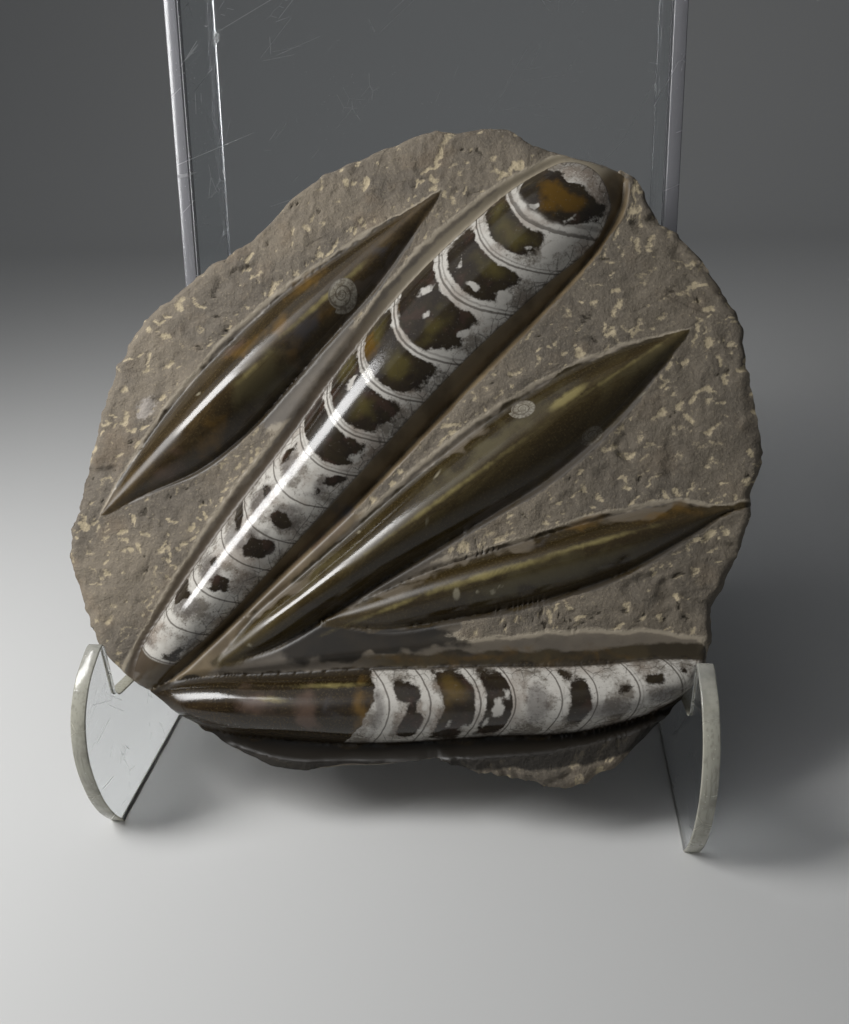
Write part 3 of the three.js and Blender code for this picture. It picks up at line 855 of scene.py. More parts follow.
class Graph:
    """Short calls for the nodes of one material or group."""

    def __init__(self, tree):
        self.tree = tree
        tree.nodes.clear()

    def node(self, kind, **settings):
        node = self.tree.nodes.new(kind)
        for name, value in settings.items():
            setattr(node, name, value)
        return node

    def feed(self, socket, value):
        if isinstance(value, bpy.types.NodeSocket):
            self.tree.links.new(value, socket)
        elif socket.type == "RGBA":
            socket.default_value = (*value[:3], 1)
        else:
            socket.default_value = value

    def math(self, operation, a, b=0.0):
        node = self.node("ShaderNodeMath", operation=operation)
        self.feed(node.inputs[0], a)
        self.feed(node.inputs[1], b)
        return node.outputs[0]

    def ease(self, value, low, high):
        """0 at low, 1 at high, with a smooth S between."""
        node = self.node("ShaderNodeMapRange", interpolation_type="SMOOTHSTEP")
        for socket, number in zip(node.inputs, (value, low, high, 0.0, 1.0)):
            self.feed(socket, number)
        return node.outputs[0]

    def times(self, *values):
        """The values' product."""
        product = values[0]
        for value in values[1:]:
            product = self.math("MULTIPLY", product, value)
        return product

    def plus(self, *values):
        """The values' sum."""
        total = values[0]
        for value in values[1:]:
            total = self.math("ADD", total, value)
        return total

    def line(self, value, low, high):
        """1 where the value is near 0, falling to 0 between low and high on either side of it."""
        return self.math("SUBTRACT", 1.0, self.ease(self.math("ABSOLUTE", value), low, high))

    def mix(self, share, a, b):
        """A colour between a and b."""
        node = self.node("ShaderNodeMix", data_type="RGBA")
        self.feed(node.inputs[0], share)
        self.feed(node.inputs[6], a)
        self.feed(node.inputs[7], b)
        return node.outputs[2]

    def blend(self, share, a, b):
        """A number between a and b."""
        node = self.node("ShaderNodeMix", data_type="FLOAT")
        self.feed(node.inputs[0], share)
        self.feed(node.inputs[2], a)
        self.feed(node.inputs[3], b)
        return node.outputs[0]

    def noise(self, vector, scale, detail=3.0, roughness=0.55, distortion=0.0):
        node = self.node("ShaderNodeTexNoise")
        values = (("Vector", vector), ("Scale", scale), ("Detail", detail),
                  ("Roughness", roughness), ("Distortion", distortion))
        for name, value in values:
            self.feed(node.inputs[name], value)
        return node.outputs["Fac"]

    def swing(self, vector, amount, scale, detail=3.0, roughness=0.55, distortion=0.0):
        """Noise that swings evenly about 0, within half the amount either way."""
        noise = self.noise(vector, scale, detail, roughness, distortion)
        return self.times(self.math("SUBTRACT", noise, 0.5), amount)

    def cells(self, vector, scale, feature="F1"):
        """Distance to the nearest point or edge of a net of cells."""
        node = self.node("ShaderNodeTexVoronoi", feature=feature)
        self.feed(node.inputs["Vector"], vector)
        self.feed(node.inputs["Scale"], scale)
        return node.outputs["Distance"]

    def field(self, name):
        """The three numbers of a named field of the mesh."""
        return self.split(self.node("ShaderNodeAttribute", attribute_name=name).outputs["Vector"])

    def vector(self, x, y, z=0.0):
        node = self.node("ShaderNodeCombineXYZ")
        for socket, value in zip(node.inputs, (x, y, z)):
            self.feed(socket, value)
        return node.outputs[0]

    def place(self, vector, location=(0, 0, 0), rotation=(0, 0, 0), scale=(1, 1, 1)):
        """The point's place in a frame with its own origin, turn and unit lengths."""
        node = self.node("ShaderNodeMapping", vector_type="TEXTURE")
        self.feed(node.inputs["Vector"], vector)
        self.feed(node.inputs["Location"], location)
        self.feed(node.inputs["Rotation"], rotation)
        self.feed(node.inputs["Scale"], scale)
        return node.outputs[0]

    def split(self, vector):
        """A vector's three numbers."""
        node = self.node("ShaderNodeSeparateXYZ")
        self.feed(node.inputs[0], vector)
        return node.outputs[:3]

    def group(self, tree, **values):
        """Places a node group; its inputs are named with underlines for spaces."""
        node = self.node("ShaderNodeGroup", node_tree=tree)
        for name, value in values.items():
            self.feed(node.inputs[name.replace("_", " ").capitalize()], value)
        return node.outputs


def new_group(name, inputs, outputs):
    """An empty shader node group with named sockets, its graph, and its inputs by name."""
    tree = bpy.data.node_groups.new(name, "ShaderNodeTree")
    kinds = {"value": "NodeSocketFloat", "colour": "NodeSocketColor", "vector": "NodeSocketVector"}
    for direction, sockets in (("INPUT", inputs), ("OUTPUT", outputs)):
        for label, kind in sockets.items():
            tree.interface.new_socket(label, in_out=direction, socket_type=kinds[kind])
    graph = Graph(tree)
    entry = graph.node("NodeGroupInput")
    leave = graph.node("NodeGroupOutput")
    return tree, graph, entry.outputs, leave.inputs


def chamber_group():
    """Calcite in a shell: clouded and cracked, whitest beside the chamber walls, filled between them
    with dark, olive or orange matter. A wall is a fine dark arc wherever the count of walls is whole,
    with a fainter second one behind it."""
    tree, g, given, out = new_group(
        "chambered calcite",
        {"Place": "vector", "Dark": "value", "Smoke": "value", "Walls": "value", "Spacing": "value",
         "Olive": "value", "Orange": "value", "Pale": "value", "Inside": "value", "White": "colour",
         "Grey": "colour", "Dark colour": "colour", "Olive colour": "colour", "Orange colour": "colour"},
        {"Colour": "colour"},
    )
    place = given["Place"]
    swing = lambda scale, detail, amount: g.swing(place, amount, scale, detail, 0.6)
    part = g.math("FRACT", g.plus(given["Walls"], 0.5))
    past = g.times(g.math("SUBTRACT", part, 0.5), given["Spacing"])
    past = g.plus(past, swing(0.14, 3, 1.3))
    wall = g.math("ABSOLUTE", past)
    ragged = g.plus(swing(0.16, 2, 3.4), swing(0.55, 3, 1.8), swing(1.6, 2, 1.0))
    fine = swing(0.7, 3, 2.0)

    cloud = g.plus(g.noise(place, 0.10, 4, 0.6), swing(1.0, 3, 0.28))
    near_wall = g.times(g.ease(wall, 4.5, 1.0), 0.20)
    white = g.mix(g.ease(g.math("SUBTRACT", cloud, near_wall), 0.36, 0.62), given["White"], given["Grey"])
    warm = g.times(g.ease(g.noise(place, 0.07, 4), 0.46, 0.66), 0.5)
    white = g.mix(warm, white, srgb(128, 112, 98))
    fleck = g.times(g.ease(g.noise(place, 1.0, 4, 0.7), 0.56, 0.70), 0.6)
    white = g.mix(fleck, white, srgb(80, 72, 64))
    glint = g.times(g.ease(g.noise(place, 0.75, 4, 0.75), 0.56, 0.68), 0.55)
    white = g.mix(glint, white, srgb(196, 192, 182))
    smoky = g.times(g.ease(g.plus(given["Smoke"], ragged), -0.8, 2.4), 0.6)
    white = g.mix(smoky, white, srgb(76, 70, 67))

    tone = g.ease(g.noise(place, 0.16, 5, 0.62, 0.5), 0.36, 0.66)
    dark = g.mix(tone, given["Dark colour"], srgb(46, 39, 27))
    maroon = g.times(g.ease(g.noise(place, 0.11, 4), 0.52, 0.64), 0.6)
    dark = g.mix(maroon, dark, srgb(62, 46, 38))
    olive = g.times(g.ease(g.plus(given["Olive"], swing(0.15, 3, 7.0)), -2.0, 4.5), 0.8)
    dark = g.mix(olive, dark, given["Olive colour"])
    orange = g.times(g.ease(g.plus(given["Orange"], swing(0.22, 4, 6.0)), -1.0, 3.0), 0.85)
    dark = g.mix(orange, dark, given["Orange colour"])
    speck = g.times(g.ease(g.noise(place, 0.85, 4, 0.72), 0.60, 0.72), 0.45)
    dark = g.mix(speck, dark, given["Grey"])
    filled = g.times(g.ease(g.plus(given["Dark"], ragged), -0.5, 0.6), g.ease(wall, 0.8, 1.6))
    shade = g.mix(filled, white, dark)
    pale = g.times(g.ease(g.plus(given["Pale"], fine, swing(0.25, 2, 2.5)), -0.3, 0.9), 0.85)
    shade = g.mix(pale, shade, given["White"])

    net = g.cells(g.place(place, scale=(1.0, 1.5, 1.0)), 0.20, "DISTANCE_TO_EDGE")
    net = g.plus(net, swing(1.2, 3, 0.14))
    cracked = g.times(g.ease(g.noise(place, 0.05, 3), 0.52, 0.62), 0.4)
    cracked = g.math("MAXIMUM", cracked, g.ease(given["Inside"], 6.5, 2.5))
    crack = g.times(g.math("SUBTRACT", 1.0, g.ease(net, 0.0, 0.06)), cracked, 0.55)
    shade = g.mix(crack, shade, srgb(52, 45, 38))
    second = g.line(g.math("SUBTRACT", past, 1.5), 0.15, 0.5)
    second = g.times(second, 0.55, g.ease(given["Walls"], 6.5, 7.5))
    line = g.times(g.math("MAXIMUM", g.line(past, 0.22, 0.55), second), 0.72)
    shade = g.mix(line, shade, srgb(60, 53, 45))
    rim = g.times(g.ease(g.plus(given["Inside"], fine), 1.1, 0.1), 0.75)
    g.feed(out["Colour"], g.mix(rim, shade, srgb(60, 51, 40)))
    return tree


def body_group():
    """A brown fossil body: two tones streaked along the ridge, with painted shade darker down both sides of
    the crest, with fine grains in it, and a mask with a wavy edge."""
    tree, g, given, out = new_group(
        "brown body",
        {"Along": "value", "Across": "value", "Inside": "value", "Light": "colour", "Shade": "colour"},
        {"Colour": "colour", "Mask": "value"},
    )
    along, across = given["Along"], given["Across"]
    streaked = g.vector(g.times(along, 0.04), g.times(across, 0.11))
    tone = g.noise(streaked, 1.0, 6, 0.66, 1.0)
    shade = g.mix(g.ease(tone, 0.38, 0.62), given["Light"], given["Shade"])
    fine = g.noise(g.vector(g.times(along, 0.12), g.times(across, 0.9)), 1.0, 4, 0.6)
    shade = g.mix(g.times(g.ease(fine, 0.40, 0.75), 0.4), shade, given["Shade"])
    # Painted shade: darker down the right side of the crest, which faces away from the light.
    shade = g.mix(g.times(g.ease(across, 0.0, -9.0), 0.55), shade, srgb(46, 37, 20))
    # Painted shade: darker on the left side too, toning down where the light falls on it.
    shade = g.mix(g.times(g.ease(across, 1.5, 6.5), 0.62), shade, srgb(36, 29, 16))
    here = g.vector(along, across)
    grain = g.noise(here, 1.1, 4, 0.75)
    shade = g.mix(g.times(g.ease(grain, 0.52, 0.68), 0.35), shade, srgb(108, 94, 62))
    shade = g.mix(g.times(g.ease(grain, 0.46, 0.32), 0.35), shade, srgb(26, 20, 10))
    g.feed(out["Colour"], shade)
    g.feed(out["Mask"], g.ease(g.plus(given["Inside"], g.swing(here, 9.0, 0.07, 3, 0.5)), -1.6, -0.4))
    return tree


def coil_group():
    """A small coiled shell seen from the side: a disc whose winding lines follow a spiral, the angle
    against the logarithm of the distance, with ribs across them."""
    tree, g, given, out = new_group(
        "coiled shell", {"Place": "vector"}, {"Mask": "value", "Lines": "value"}
    )
    x, y, _ = g.split(given["Place"])
    distance = g.math("SQRT", g.plus(g.times(x, x), g.times(y, y)))
    angle = g.math("DIVIDE", g.math("ARCTAN2", y, x), 2 * math.pi)
    turns = g.math("LOGARITHM", g.math("MAXIMUM", distance, 0.02), 2.1)
    phase = g.math("FRACT", g.plus(turns, angle))
    winding = g.line(g.math("SUBTRACT", phase, 0.5), 0.30, 0.46)
    ribs = g.math("ABSOLUTE", g.math("SINE", g.times(angle, 60.0)))
    ribs = g.times(g.ease(ribs, 0.5, 0.95), g.ease(distance, 0.35, 0.8), 0.45)
    g.feed(out["Lines"], g.math("MAXIMUM", g.math("SUBTRACT", 1.0, winding), ribs))
    outer = g.plus(distance, g.times(angle, 0.22))
    g.feed(out["Mask"], g.math("SUBTRACT", 1.0, g.ease(outer, 0.9, 0.98)))
    return tree


def handling_group():
    """Hairline scratches and dust on a clear sheet, as one value."""
    tree, g, given, out = new_group("handling marks", {"Place": "vector"}, {"Marks": "value"})
    place = given["Place"]
    lines = []
    for turn, scale in ((0.5, 0.055), (-0.9, 0.07), (2.2, 0.04)):
        turned = g.place(place, rotation=(turn, turn, turn), scale=(1, 1, 9))
        near = g.cells(turned, scale, "DISTANCE_TO_EDGE")
        broken = g.ease(g.noise(turned, 0.06, 2), 0.56, 0.66)
        lines.append(g.times(g.math("SUBTRACT", 1.0, g.ease(near, 0.002, 0.010)), broken))
    scratch = g.math("MAXIMUM", g.math("MAXIMUM", lines[0], lines[1]), lines[2])
    dust = g.math("SUBTRACT", 1.0, g.ease(g.cells(place, 0.42), 0.05, 0.11))
    dust = g.times(dust, g.ease(g.noise(place, 0.02, 3), 0.45, 0.62))
    g.feed(out["Marks"], g.math("MAXIMUM", scratch, dust))
    return tree


def new_material(name):
    material = bpy.data.materials.new(name)
    material.use_nodes = True
    graph = Graph(material.node_tree)
    shader = graph.node("ShaderNodeBsdfPrincipled")
    output = graph.node("ShaderNodeOutputMaterial")
    graph.feed(output.inputs["Surface"], shader.outputs["BSDF"])
    return material, graph, shader.inputs


def slab_place(g, shift):
    """The slab's own millimetres at a point, from Object coordinates."""
    coordinates = g.node("ShaderNodeTexCoord")
    foot = (SLAB_FOOT + shift) * MM
    tilt = math.pi / 2 - SLAB_LEAN
    return g.place(coordinates.outputs["Object"], tuple(foot), (tilt, 0, 0), (MM, MM, MM))


def pecked_colour(g, place, s, chisel, pits, broken):
    """Unpolished limestone: grey and warm patches, painted shade darker towards the right where the light
    falls off, grit, chisel marks, pits, seams and pale flakes.
    """
    shade = g.mix(g.ease(g.noise(place, 0.022, 6, 0.62), 0.40, 0.60), s.matrix, s.matrix_grey)
    warm = g.times(g.ease(g.noise(place, 0.035, 5, 0.6), 0.52, 0.68), 0.5)
    shade = g.mix(warm, shade, srgb(126, 110, 90))
    # Painted shade: the stone darker towards the right, where the light falls off.
    painted_falloff_shade = g.times(g.ease(g.split(place)[0], -60.0, 130.0), 0.5)
    shade = g.mix(painted_falloff_shade, shade, srgb(90, 83, 72))
    grit = g.noise(place, 0.9, 5, 0.72)
    shade = g.mix(g.times(g.ease(grit, 0.52, 0.72), 0.32), shade, s.chiselled)
    shade = g.mix(g.times(g.ease(grit, 0.46, 0.30), 0.38), shade, srgb(78, 70, 60))
    ragged = g.swing(place, 1.3, 0.7, 4, 0.65)
    shade = g.mix(g.times(g.ease(g.plus(chisel, ragged), 0.16, 0.70), 0.8), shade, s.chiselled)
    shade = g.mix(g.times(g.ease(g.plus(pits, ragged), 0.25, 0.6), 0.8), shade, srgb(52, 45, 32))
    net = g.cells(g.place(place, rotation=(0, 0, 0.4), scale=(1.6, 0.8, 1.0)), 0.045, "DISTANCE_TO_EDGE")
    seam = g.math("SUBTRACT", 1.0, g.ease(g.plus(net, g.times(ragged, 0.03)), 0.0, 0.025))
    seam = g.times(seam, g.ease(g.noise(place, 0.03, 3), 0.5, 0.62), 0.5)
    shade = g.mix(seam, shade, srgb(70, 62, 52))
    flake = g.times(broken, g.ease(g.noise(place, 0.06, 4, 0.6), 0.5, 0.62), 0.45)
    return g.mix(flake, shade, srgb(150, 139, 122))


def dressed_colour(g, place, s, painted_lee_shade):
    """Limestone dressed smooth, with painted shade: darker brown down the right walls of the troughs, which
    lie in shadow.
    """
    shade = g.mix(g.ease(g.noise(place, 0.022, 6, 0.62), 0.40, 0.64), s.dressed, srgb(98, 91, 82))
    mottle = g.times(g.ease(g.noise(place, 0.3, 5, 0.65), 0.50, 0.72), 0.35)
    shade = g.mix(mottle, shade, srgb(86, 78, 68))
    # Painted shade: darker brown on the right walls of the ridges and troughs.
    return g.mix(g.times(painted_lee_shade, 0.9), shade, srgb(56, 49, 39))


def matrix_colour(g, place, s, painted_lee_shade):
    """The limestone round the fossils, pecked or dressed, with a painted highlight, a pale line along the
    troughs' upper rims where the edge catches the light, and pale mottled spots. Also gives where it is
    polished."""
    polish, upper, chisel = g.field("worked")
    pits, broken, _ = g.field("broken")
    bruises = g.field("crowns")[2]
    edge = g.plus(polish, g.swing(place, 1.2, 0.5, 3, 0.6))
    polished = g.ease(edge, -0.35, 0.35)
    pecked = pecked_colour(g, place, s, chisel, pits, broken)
    shade = g.mix(polished, pecked, dressed_colour(g, place, s, painted_lee_shade))
    # Painted highlight: a pale line along the upper rims, where the edge catches the light.
    rim = g.times(g.line(g.math("SUBTRACT", edge, 0.2), 0.4, 1.5), upper, 0.7)
    shade = g.mix(rim, shade, srgb(166, 155, 136))
    spot = g.times(g.ease(g.plus(bruises, g.swing(place, 7.0, 0.6, 4, 0.7)), -0.8, 1.6), 0.8)
    return g.mix(spot, shade, srgb(168, 160, 152)), polished


def two_tone(g, place, scale, light, dark):
    """A colour that wanders between two tones."""
    return g.mix(g.ease(g.noise(place, scale, 4), 0.4, 0.6), light, dark)


def flank_mask(g, place, share_side, inside, left_reach, right_reach):
    """The brown zone round a shell: out to one reach on the left of it and another on the right."""
    reach = g.blend(g.ease(share_side, -0.2, 0.2), right_reach, left_reach)
    return g.ease(g.plus(inside, reach, g.swing(place, 6.0, 0.09, 4, 0.6)), -0.6, 1.0)


def paint_main_flanks(g, place, shade, polished):
    """The polished ground on both sides of the large shell: brown, with painted light, paler on the left of
    its wide end and lighter on the right, whose wall lies in shade.
    """
    inside = g.field("main_shell")[2]
    _, along, across = g.field("grounds")
    right = g.ease(across, 0.0, -6.0)
    left_brown_and_painted_light = two_tone(g, place, 0.06, srgb(84, 72, 56), srgb(70, 58, 44))
    # Painted light: paler on the left of the wide end, where the trough wall faces away from the light.
    left_brown_and_painted_light = g.mix(g.ease(along, 140.0, 200.0), left_brown_and_painted_light, srgb(146, 136, 116))
    # Painted light: the right flank's brown made lighter, standing in for light falling into its shadow.
    right_brown_and_painted_fill = two_tone(g, place, 0.05, srgb(116, 101, 76), srgb(90, 76, 54))
    mask = g.times(flank_mask(g, place, across, inside, 4.0, 12.0), polished, g.blend(right, 0.75, 0.92))
    return g.mix(mask, shade, g.mix(right, left_brown_and_painted_light, right_brown_and_painted_fill))


def paint_lower_flanks(g, place, shade, polished):
    """The brown strip above the lower shell's wide part, and painted shadow: the ground under all of it
    painted dark.
    """
    along, across, inside = g.field("lower_shell")
    # Below the crest; the ground here gets painted shadow.
    below = g.ease(across, 0.0, -6.0)
    mask = g.times(
        flank_mask(g, place, across, inside, 6.0, 12.0), g.math("MAXIMUM", below, g.ease(along, 74.0, 98.0)),
        g.math("MAXIMUM", polished, below), 0.92,
    )
    above_tone = two_tone(g, place, 0.08, srgb(62, 52, 31), srgb(44, 36, 20))
    # Painted shadow: near black under the lower shell.
    return g.mix(mask, shade, g.mix(below, above_tone, srgb(24, 20, 14)))


def paint_bodies(g, place, shade, polished, crown):
    """Brown ground and the brown bodies, with bays of stone in them, painted darker right of the crest as
    shade. Also gives how glossy they are: less along a crest than on its sides, but for the crowns."""
    wavy = g.swing(place, 4.0, 0.12)
    ground = g.times(g.ease(g.plus(g.field("grounds")[0], wavy), -1.0, 1.0), polished, 0.92)
    shade = g.mix(ground, shade, two_tone(g, place, 0.1, srgb(30, 24, 15), srgb(20, 16, 10)))
    bay = g.times(g.ease(g.plus(g.field("broken")[2], wavy), -0.8, 0.8), 0.85)
    crowned = g.ease(crown, -3.0, 3.0)
    body = body_group()
    glossy = 0.0
    for name, (light, dark) in BODY_TONES.items():
        along, across, inside = g.field(name)
        made = g.group(body, along=along, across=across, inside=inside, light=light, shade=dark)
        # Painted shade: bays darker right of the crest, which faces away from the light, and paler on its lit
        # left.
        bay_grey_and_painted_shade = g.mix(g.ease(across, -2.0, 2.0), srgb(68, 59, 48), srgb(100, 91, 78))
        shade = g.mix(g.times(made["Mask"], polished), shade, g.mix(bay, made["Colour"], bay_grey_and_painted_shade))
        beside = g.ease(g.math("ABSOLUTE", across), 1.5, 4.5)
        shine = g.blend(g.math("MAXIMUM", crowned, beside), 0.15, 1.0)
        glossy = g.math("MAXIMUM", glossy, g.times(g.ease(inside, 0.8, 2.8), polished, shine))
    return shade, glossy


def paint_stains(g, place, s, shade, polished):
    """Stains, veins and pale spots: each has its tint, its strength and how far its edge frays."""
    stains = g.field("more_stains")[:3] + g.field("stains")[:3]
    tints = (
        (s.blue_grey, 0.8, 6.0), (s.red, 0.6, 7.0), (s.olive, 0.7, 7.0), (s.orange, 0.8, 8.0),
        (s.vein, 0.8, 2.4), (s.spot, 0.75, 1.2),
    )
    for stain, (tint, strength, fray) in zip(stains, tints):
        mask = g.ease(g.plus(stain, g.swing(place, fray, 0.16, 5, 0.62, 0.6)), -0.25 * fray, 0.55 * fray)
        shade = g.mix(g.times(mask, polished, strength), shade, tint)
    return shade


def paint_chambers(g, place, s, shade):
    """The calcite of the large shell and of the lower shell's wide part."""
    calcite = chamber_group()

    def chambers(name, inside, olive_colour, orange_colour):
        dark, smoke, walls = g.field(name + "_dark")
        olive, orange, pale = g.field(name + "_tints")
        return g.group(
            calcite, place=place, dark=dark, smoke=smoke, walls=walls, spacing=CHAMBER_SPACING, olive=olive,
            orange=orange, pale=pale, inside=inside, white=s.calcite, grey=s.calcite_grey, dark_colour=s.dark,
            olive_colour=olive_colour, orange_colour=orange_colour,
        )["Colour"]

    along, _, inside = g.field("main_shell")
    mask = g.times(g.ease(inside, -0.2, 0.5), g.ease(along, -0.8, 0.4))
    shade = g.mix(mask, shade, chambers("main", inside, srgb(80, 72, 38), srgb(90, 66, 20)))
    inside = g.field("lower_shell")[2]
    along, off, _ = g.field("lower_place")
    slanted = g.math("SUBTRACT", along, g.times(g.math("SUBTRACT", off, LOWER_TIP), 0.4))
    start = g.plus(slanted, g.swing(place, 6.0, 0.2, 4), -LOWER_BROWN_END)
    mask = g.times(g.ease(inside, -0.2, 0.5), g.ease(start, -0.5, 0.5))
    return g.mix(mask, shade, chambers("lower", inside, srgb(92, 74, 36), s.orange))


def paint_coils(g, place, shade, polished):
    """The small coiled shells."""
    coil = coil_group()
    cloudy = g.mix(g.ease(g.noise(place, 0.5, 4, 0.7), 0.4, 0.62), srgb(142, 137, 124), srgb(98, 90, 78))
    for u, v, half, flat, degrees, strength in COILS:
        local = g.place(place, (u, v, 0), (0, 0, math.radians(degrees)), (half, half * flat, 1))
        made = g.group(coil, place=local)
        coiled = g.mix(g.times(made["Lines"], 0.7), cloudy, srgb(66, 58, 48))
        shade = g.mix(g.times(made["Mask"], polished, 0.9 * strength), shade, coiled)
    return shade


def limestone_material(s, shift):
    """The whole stone's finish: matrix, brown bodies, chambered shells, stains and coils by the
    fields on the mesh; rough and grainy where pecked, and glossy where polished."""
    material, g, shader = new_material("fossil_limestone")
    place = slab_place(g, shift)
    # The second field says where the material paints shade on the right walls.
    crown, painted_lee_shade, _ = g.field("crowns")
    shade, polished = matrix_colour(g, place, s, painted_lee_shade)
    shade = paint_main_flanks(g, place, shade, polished)
    shade = paint_lower_flanks(g, place, shade, polished)
    shade, glossy = paint_bodies(g, place, shade, polished, crown)
    shade = paint_stains(g, place, s, shade, polished)
    shade = paint_chambers(g, place, s, shade)
    g.feed(shader["Base Color"], paint_coils(g, place, shade, polished))

    glossy = g.math("MAXIMUM", glossy, g.ease(g.field("main_shell")[2], -0.6, 0.6))
    smear = g.ease(g.noise(place, 0.03, 4), 0.3, 0.8)
    finish = g.blend(glossy, DRESSED_ROUGHNESS, g.blend(smear, *GLOSS_ROUGHNESS))
    g.feed(shader["Roughness"], g.blend(polished, PECKED_ROUGHNESS, finish))
    shader["Specular IOR Level"].default_value = 0.5
    grain = g.plus(g.noise(place, 0.9, 6, 0.7), g.times(g.noise(place, 0.28, 4), 1.2))
    grain = g.times(g.math("SUBTRACT", grain, 1.1), g.blend(polished, 1.0, 0.03))
    g.feed(shader["Normal"], grain_bump(g, grain, 0.9, 0.7 * MM))
    return material


def grain_bump(g, height, strength, distance):
    """The normal of a finely grained face."""
    bump = g.node("ShaderNodeBump")
    bump.inputs["Strength"].default_value = strength
    bump.inputs["Distance"].default_value = distance
    g.feed(bump.inputs["Height"], height)
    return bump.outputs["Normal"]


def acrylic_materials(s):
    """The clear sheet's faces and its sawn edges, with painted shade greying the edges higher up."""
    marks = handling_group()
    made = []
    for name, tint, base_roughness, marked in (
        ("clear_acrylic_face", s.tint, 0.03, 0.45), ("clear_acrylic_edge", s.sawn, 0.16, 0.5),
    ):
        material, g, shader = new_material(name)
        coordinates = g.node("ShaderNodeTexCoord")
        place = g.place(coordinates.outputs["Object"], scale=(MM, MM, MM))
        worn = g.group(marks, place=place)["Marks"]
        shader["Transmission Weight"].default_value = 1.0 if name.endswith("face") else 0.45
        shader["IOR"].default_value = 1.49
        g.feed(shader["Base Color"], tint)
        g.feed(shader["Roughness"], g.blend(worn, base_roughness, marked))
        if name.endswith("edge"):
            # Painted light and shade: the cut edges are cream low down, where they catch the light, and
            # painted grey higher up, where they are in shade.
            high = g.ease(g.split(place)[2], 60.0, 95.0)
            smudge = g.times(g.ease(g.noise(place, 0.06, 4, 0.6), 0.50, 0.66), 0.5)
            lines = g.noise(g.place(place, scale=(1, 1, 12)), 0.9, 3)
            lines = g.times(g.ease(lines, 0.45, 0.7), 0.35)
            cut = g.mix(g.math("MAXIMUM", smudge, lines), tint, srgb(120, 118, 104))
            g.feed(shader["Base Color"], g.mix(high, cut, srgb(150, 150, 154)))
            saw = g.noise(g.place(place, scale=(30, 30, 1)), 1.1, 3, 0.6)
            g.feed(shader["Normal"], grain_bump(g, saw, 0.25, 0.3 * MM))
        made.append(material)
    return made


# Operators


class FOSSIL_OT_slab(bpy.types.Operator):
    """Makes the stone with its worked face"""

    bl_idname = "fossil.slab"
    bl_label = "Make the slab"

    def execute(self, context):
        settings = context.scene.fossil_slab
        make_slab(settings, limestone_material(settings, stand_shift()))
        return {"FINISHED"}


class FOSSIL_OT_stand(bpy.types.Operator):
    """Makes the stand's side plates and back panel"""

    bl_idname = "fossil.stand"
    bl_label = "Make the stand"

    def execute(self, context):
        settings = context.scene.fossil_stand
        materials = acrylic_materials(settings)
        rounding = settings.edge_round / MM
        shift = stand_shift()
        profile = side_profile()
        sides = (("side_plate_left", -STAND_WIDTH / 2), ("side_plate_right", STAND_WIDTH / 2 - SHEET))
        for node, inner_x in sides:
            to_frame = lambda p, x=inner_x: (p[:, [2, 0, 1]] + np.array([x, 0, 0]) + shift) * MM
            piece = sheet_mesh("acrylic_" + node, profile, SHEET, rounding, to_frame, materials)
            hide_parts(node)
        half = STAND_WIDTH / 2 - SHEET - GLUE_GAP
        height = (STAND_HEIGHT - PANEL_FOOT_Z) / math.cos(UPRIGHT_LEAN) - SHEET
        corners = np.array([(-half, 0), (half, 0), (half, height), (-half, height)], float)
        lean_sin, lean_cos = math.sin(UPRIGHT_LEAN), math.cos(UPRIGHT_LEAN)
        foot_y = UPRIGHT_FRONT_Y + PANEL_FOOT_Z * math.tan(UPRIGHT_LEAN)

        def to_frame(p):
            back = SHEET - p[:, 2]
            y = foot_y + p[:, 1] * lean_sin + back * lean_cos
            z = PANEL_FOOT_Z + p[:, 1] * lean_cos - back * lean_sin
            return (np.stack([p[:, 0], y, z], axis=1) + shift) * MM

        panel = sheet_mesh("acrylic_back_panel", corners, SHEET, rounding, to_frame, materials)
        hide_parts("back_panel")
        return {"FINISHED"}


class FOSSIL_OT_stage(bpy.types.Operator):
    """Makes the floor, the lights and the camera"""

    bl_idname = "fossil.stage"
    bl_label = "Make the stage"

    def execute(self, context):
        settings = context.scene.fossil_stage
        make_floor(settings)
        make_lights(context.scene, settings)
        make_camera(context.scene)
        return {"FINISHED"}


def make_floor(settings):
    """A floor that turns up into a backdrop: a level stretch, a quarter circle and a wall."""
    turn_y, turn_radius = 1.3, 0.7
    sweep = np.linspace(0, math.pi / 2, 24)
    line = [(-2.5, 0.0)]
    line += [(turn_y + turn_radius * math.sin(a), turn_radius * (1 - math.cos(a))) for a in sweep]
    line += [(turn_y + turn_radius, 3.0)]
    line = np.array(line)
    wide = np.array([-3.0, 3.0])
    x = np.repeat(wide, len(line))
    points = np.column_stack([x, np.tile(line[:, 0], 2), np.tile(line[:, 1], 2)])
    i = np.arange(len(line) - 1)
    faces = np.stack([i, i + len(line), i + len(line) + 1, i + 1], axis=1).tolist()
    material, g, shader = new_material("pale_floor")
    coordinates = g.node("ShaderNodeTexCoord")
    mottle = g.noise(coordinates.outputs["Object"], 2.0, 3)
    soft = tuple(0.96 * channel for channel in settings.floor)
    g.feed(shader["Base Color"], g.mix(mottle, settings.floor, soft))
    shader["Roughness"].default_value = 0.9
    floor = make_object("floor", points, faces, [material], body=None)
    floor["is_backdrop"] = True


def aim(thing, place, target):
    """Puts a light or camera at a place, looking at a target."""
    way = Vector(target) - Vector(place)
    thing.location = place
    thing.rotation_euler = way.to_track_quat("-Z", "Y").to_euler()


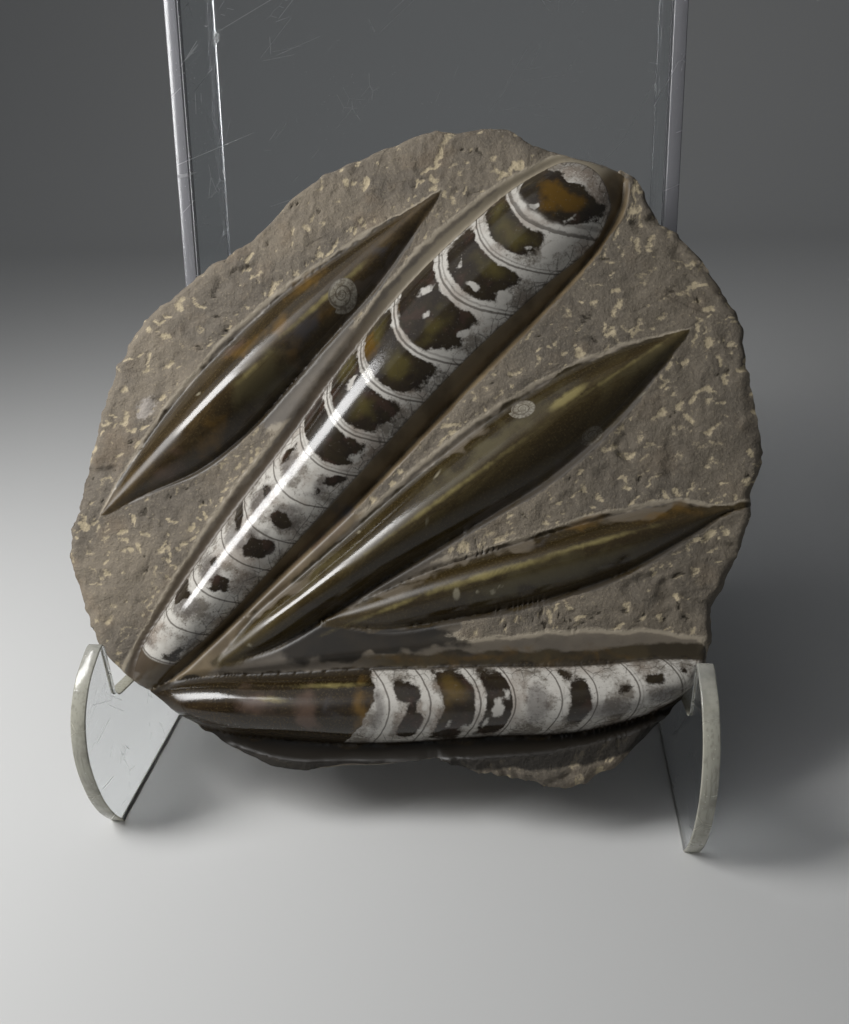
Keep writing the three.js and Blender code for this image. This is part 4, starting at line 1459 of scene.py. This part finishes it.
def make_lights(scene, settings):
    """A long narrow light up on the left, parallel to the main shell, and a wide soft one above."""
    world = bpy.data.worlds.new("air")
    world.use_nodes = True
    background = world.node_tree.nodes["Background"]
    background.inputs["Color"].default_value = (0.86, 0.90, 0.96, 1)
    background.inputs["Strength"].default_value = settings.air
    scene.world = world

    middle = slab_to_frame(np.array([KEY_AIM]), stand_shift())[0]
    lean_sin, lean_cos = math.sin(SLAB_LEAN), math.cos(SLAB_LEAN)
    start, end, _ = RIDGES["main_shell"]
    run = np.subtract(end, start) / np.hypot(*np.subtract(end, start))
    axis = Vector((run[0], run[1] * lean_sin, run[1] * lean_cos))
    toward = Vector(KEY_WAY).normalized()
    long_way = (axis - axis.dot(toward) * toward).normalized()
    across = toward.cross(long_way)
    key = bpy.data.lights.new("long_key", "AREA")
    key.shape = "RECTANGLE"
    key.size, key.size_y = KEY_SIZE
    key.energy = settings.key
    key_object = bpy.data.objects.new("long_key", key)
    spot = Vector(middle) + toward * KEY_DISTANCE
    turn = Matrix((long_way, across, toward)).transposed().to_4x4()
    key_object.matrix_world = Matrix.Translation(spot) @ turn
    scene.collection.objects.link(key_object)

    soft = bpy.data.lights.new("overhead", "AREA")
    soft.size = 1.6
    soft.energy = settings.overhead
    soft_object = bpy.data.objects.new("overhead", soft)
    aim(soft_object, (-0.9, -0.3, 1.7), (0, 0, 0.12))
    scene.collection.objects.link(soft_object)


def make_camera(scene):
    """The eye stands in front and a little to the right, looking down, with a slight roll."""
    yaw_sin, yaw_cos = math.sin(EYE_YAW), math.cos(EYE_YAW)
    forward = Vector((-yaw_sin * math.cos(EYE_PITCH), yaw_cos * math.cos(EYE_PITCH), -math.sin(EYE_PITCH)))
    level = Vector((yaw_cos, yaw_sin, 0))
    rise = level.cross(forward)
    right = level * math.cos(EYE_ROLL) - rise * math.sin(EYE_ROLL)
    up = rise * math.cos(EYE_ROLL) + level * math.sin(EYE_ROLL)
    data = bpy.data.cameras.new("eye")
    data.sensor_width = 36
    data.sensor_fit = "AUTO"
    data.lens = LENS
    data.clip_start = 0.01
    eye = bpy.data.objects.new("eye", data)
    turn = Matrix((right, up, -forward)).transposed().to_4x4()
    eye.matrix_world = Matrix.Translation(Vector((EYE + stand_shift()) * MM)) @ turn
    scene.collection.objects.link(eye)
    scene.camera = eye
    scene.view_settings.view_transform = "Standard"


class FOSSIL_PT_panel(bpy.types.Panel):
    """Lists the pieces and their settings."""

    bl_idname = "FOSSIL_PT_panel"
    bl_label = "Fossil plate"
    bl_space_type = "VIEW_3D"
    bl_region_type = "UI"
    bl_category = "Fossil plate"

    def draw(self, context):
        for part in ("slab", "stand", "stage"):
            self.layout.operator("fossil." + part)
            settings = getattr(context.scene, "fossil_" + part)
            for name in settings.__annotations__:
                self.layout.prop(settings, name)


CLASSES = (
    SlabSettings, StandSettings, StageSettings, FOSSIL_OT_slab, FOSSIL_OT_stand, FOSSIL_OT_stage,
    FOSSIL_PT_panel,
)


def register():
    for each in CLASSES:
        bpy.utils.register_class(each)
    bpy.types.Scene.fossil_slab = PointerProperty(type=SlabSettings)
    bpy.types.Scene.fossil_stand = PointerProperty(type=StandSettings)
    bpy.types.Scene.fossil_stage = PointerProperty(type=StageSettings)


def unregister():
    del bpy.types.Scene.fossil_stage
    del bpy.types.Scene.fossil_stand
    del bpy.types.Scene.fossil_slab
    for each in reversed(CLASSES):
        bpy.utils.unregister_class(each)


def main():
    register()
    bpy.ops.fossil.slab()
    bpy.ops.fossil.stand()
    bpy.ops.fossil.stage()
    visual = [list(corner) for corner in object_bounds()]


if __name__ == "__main__":
    main()
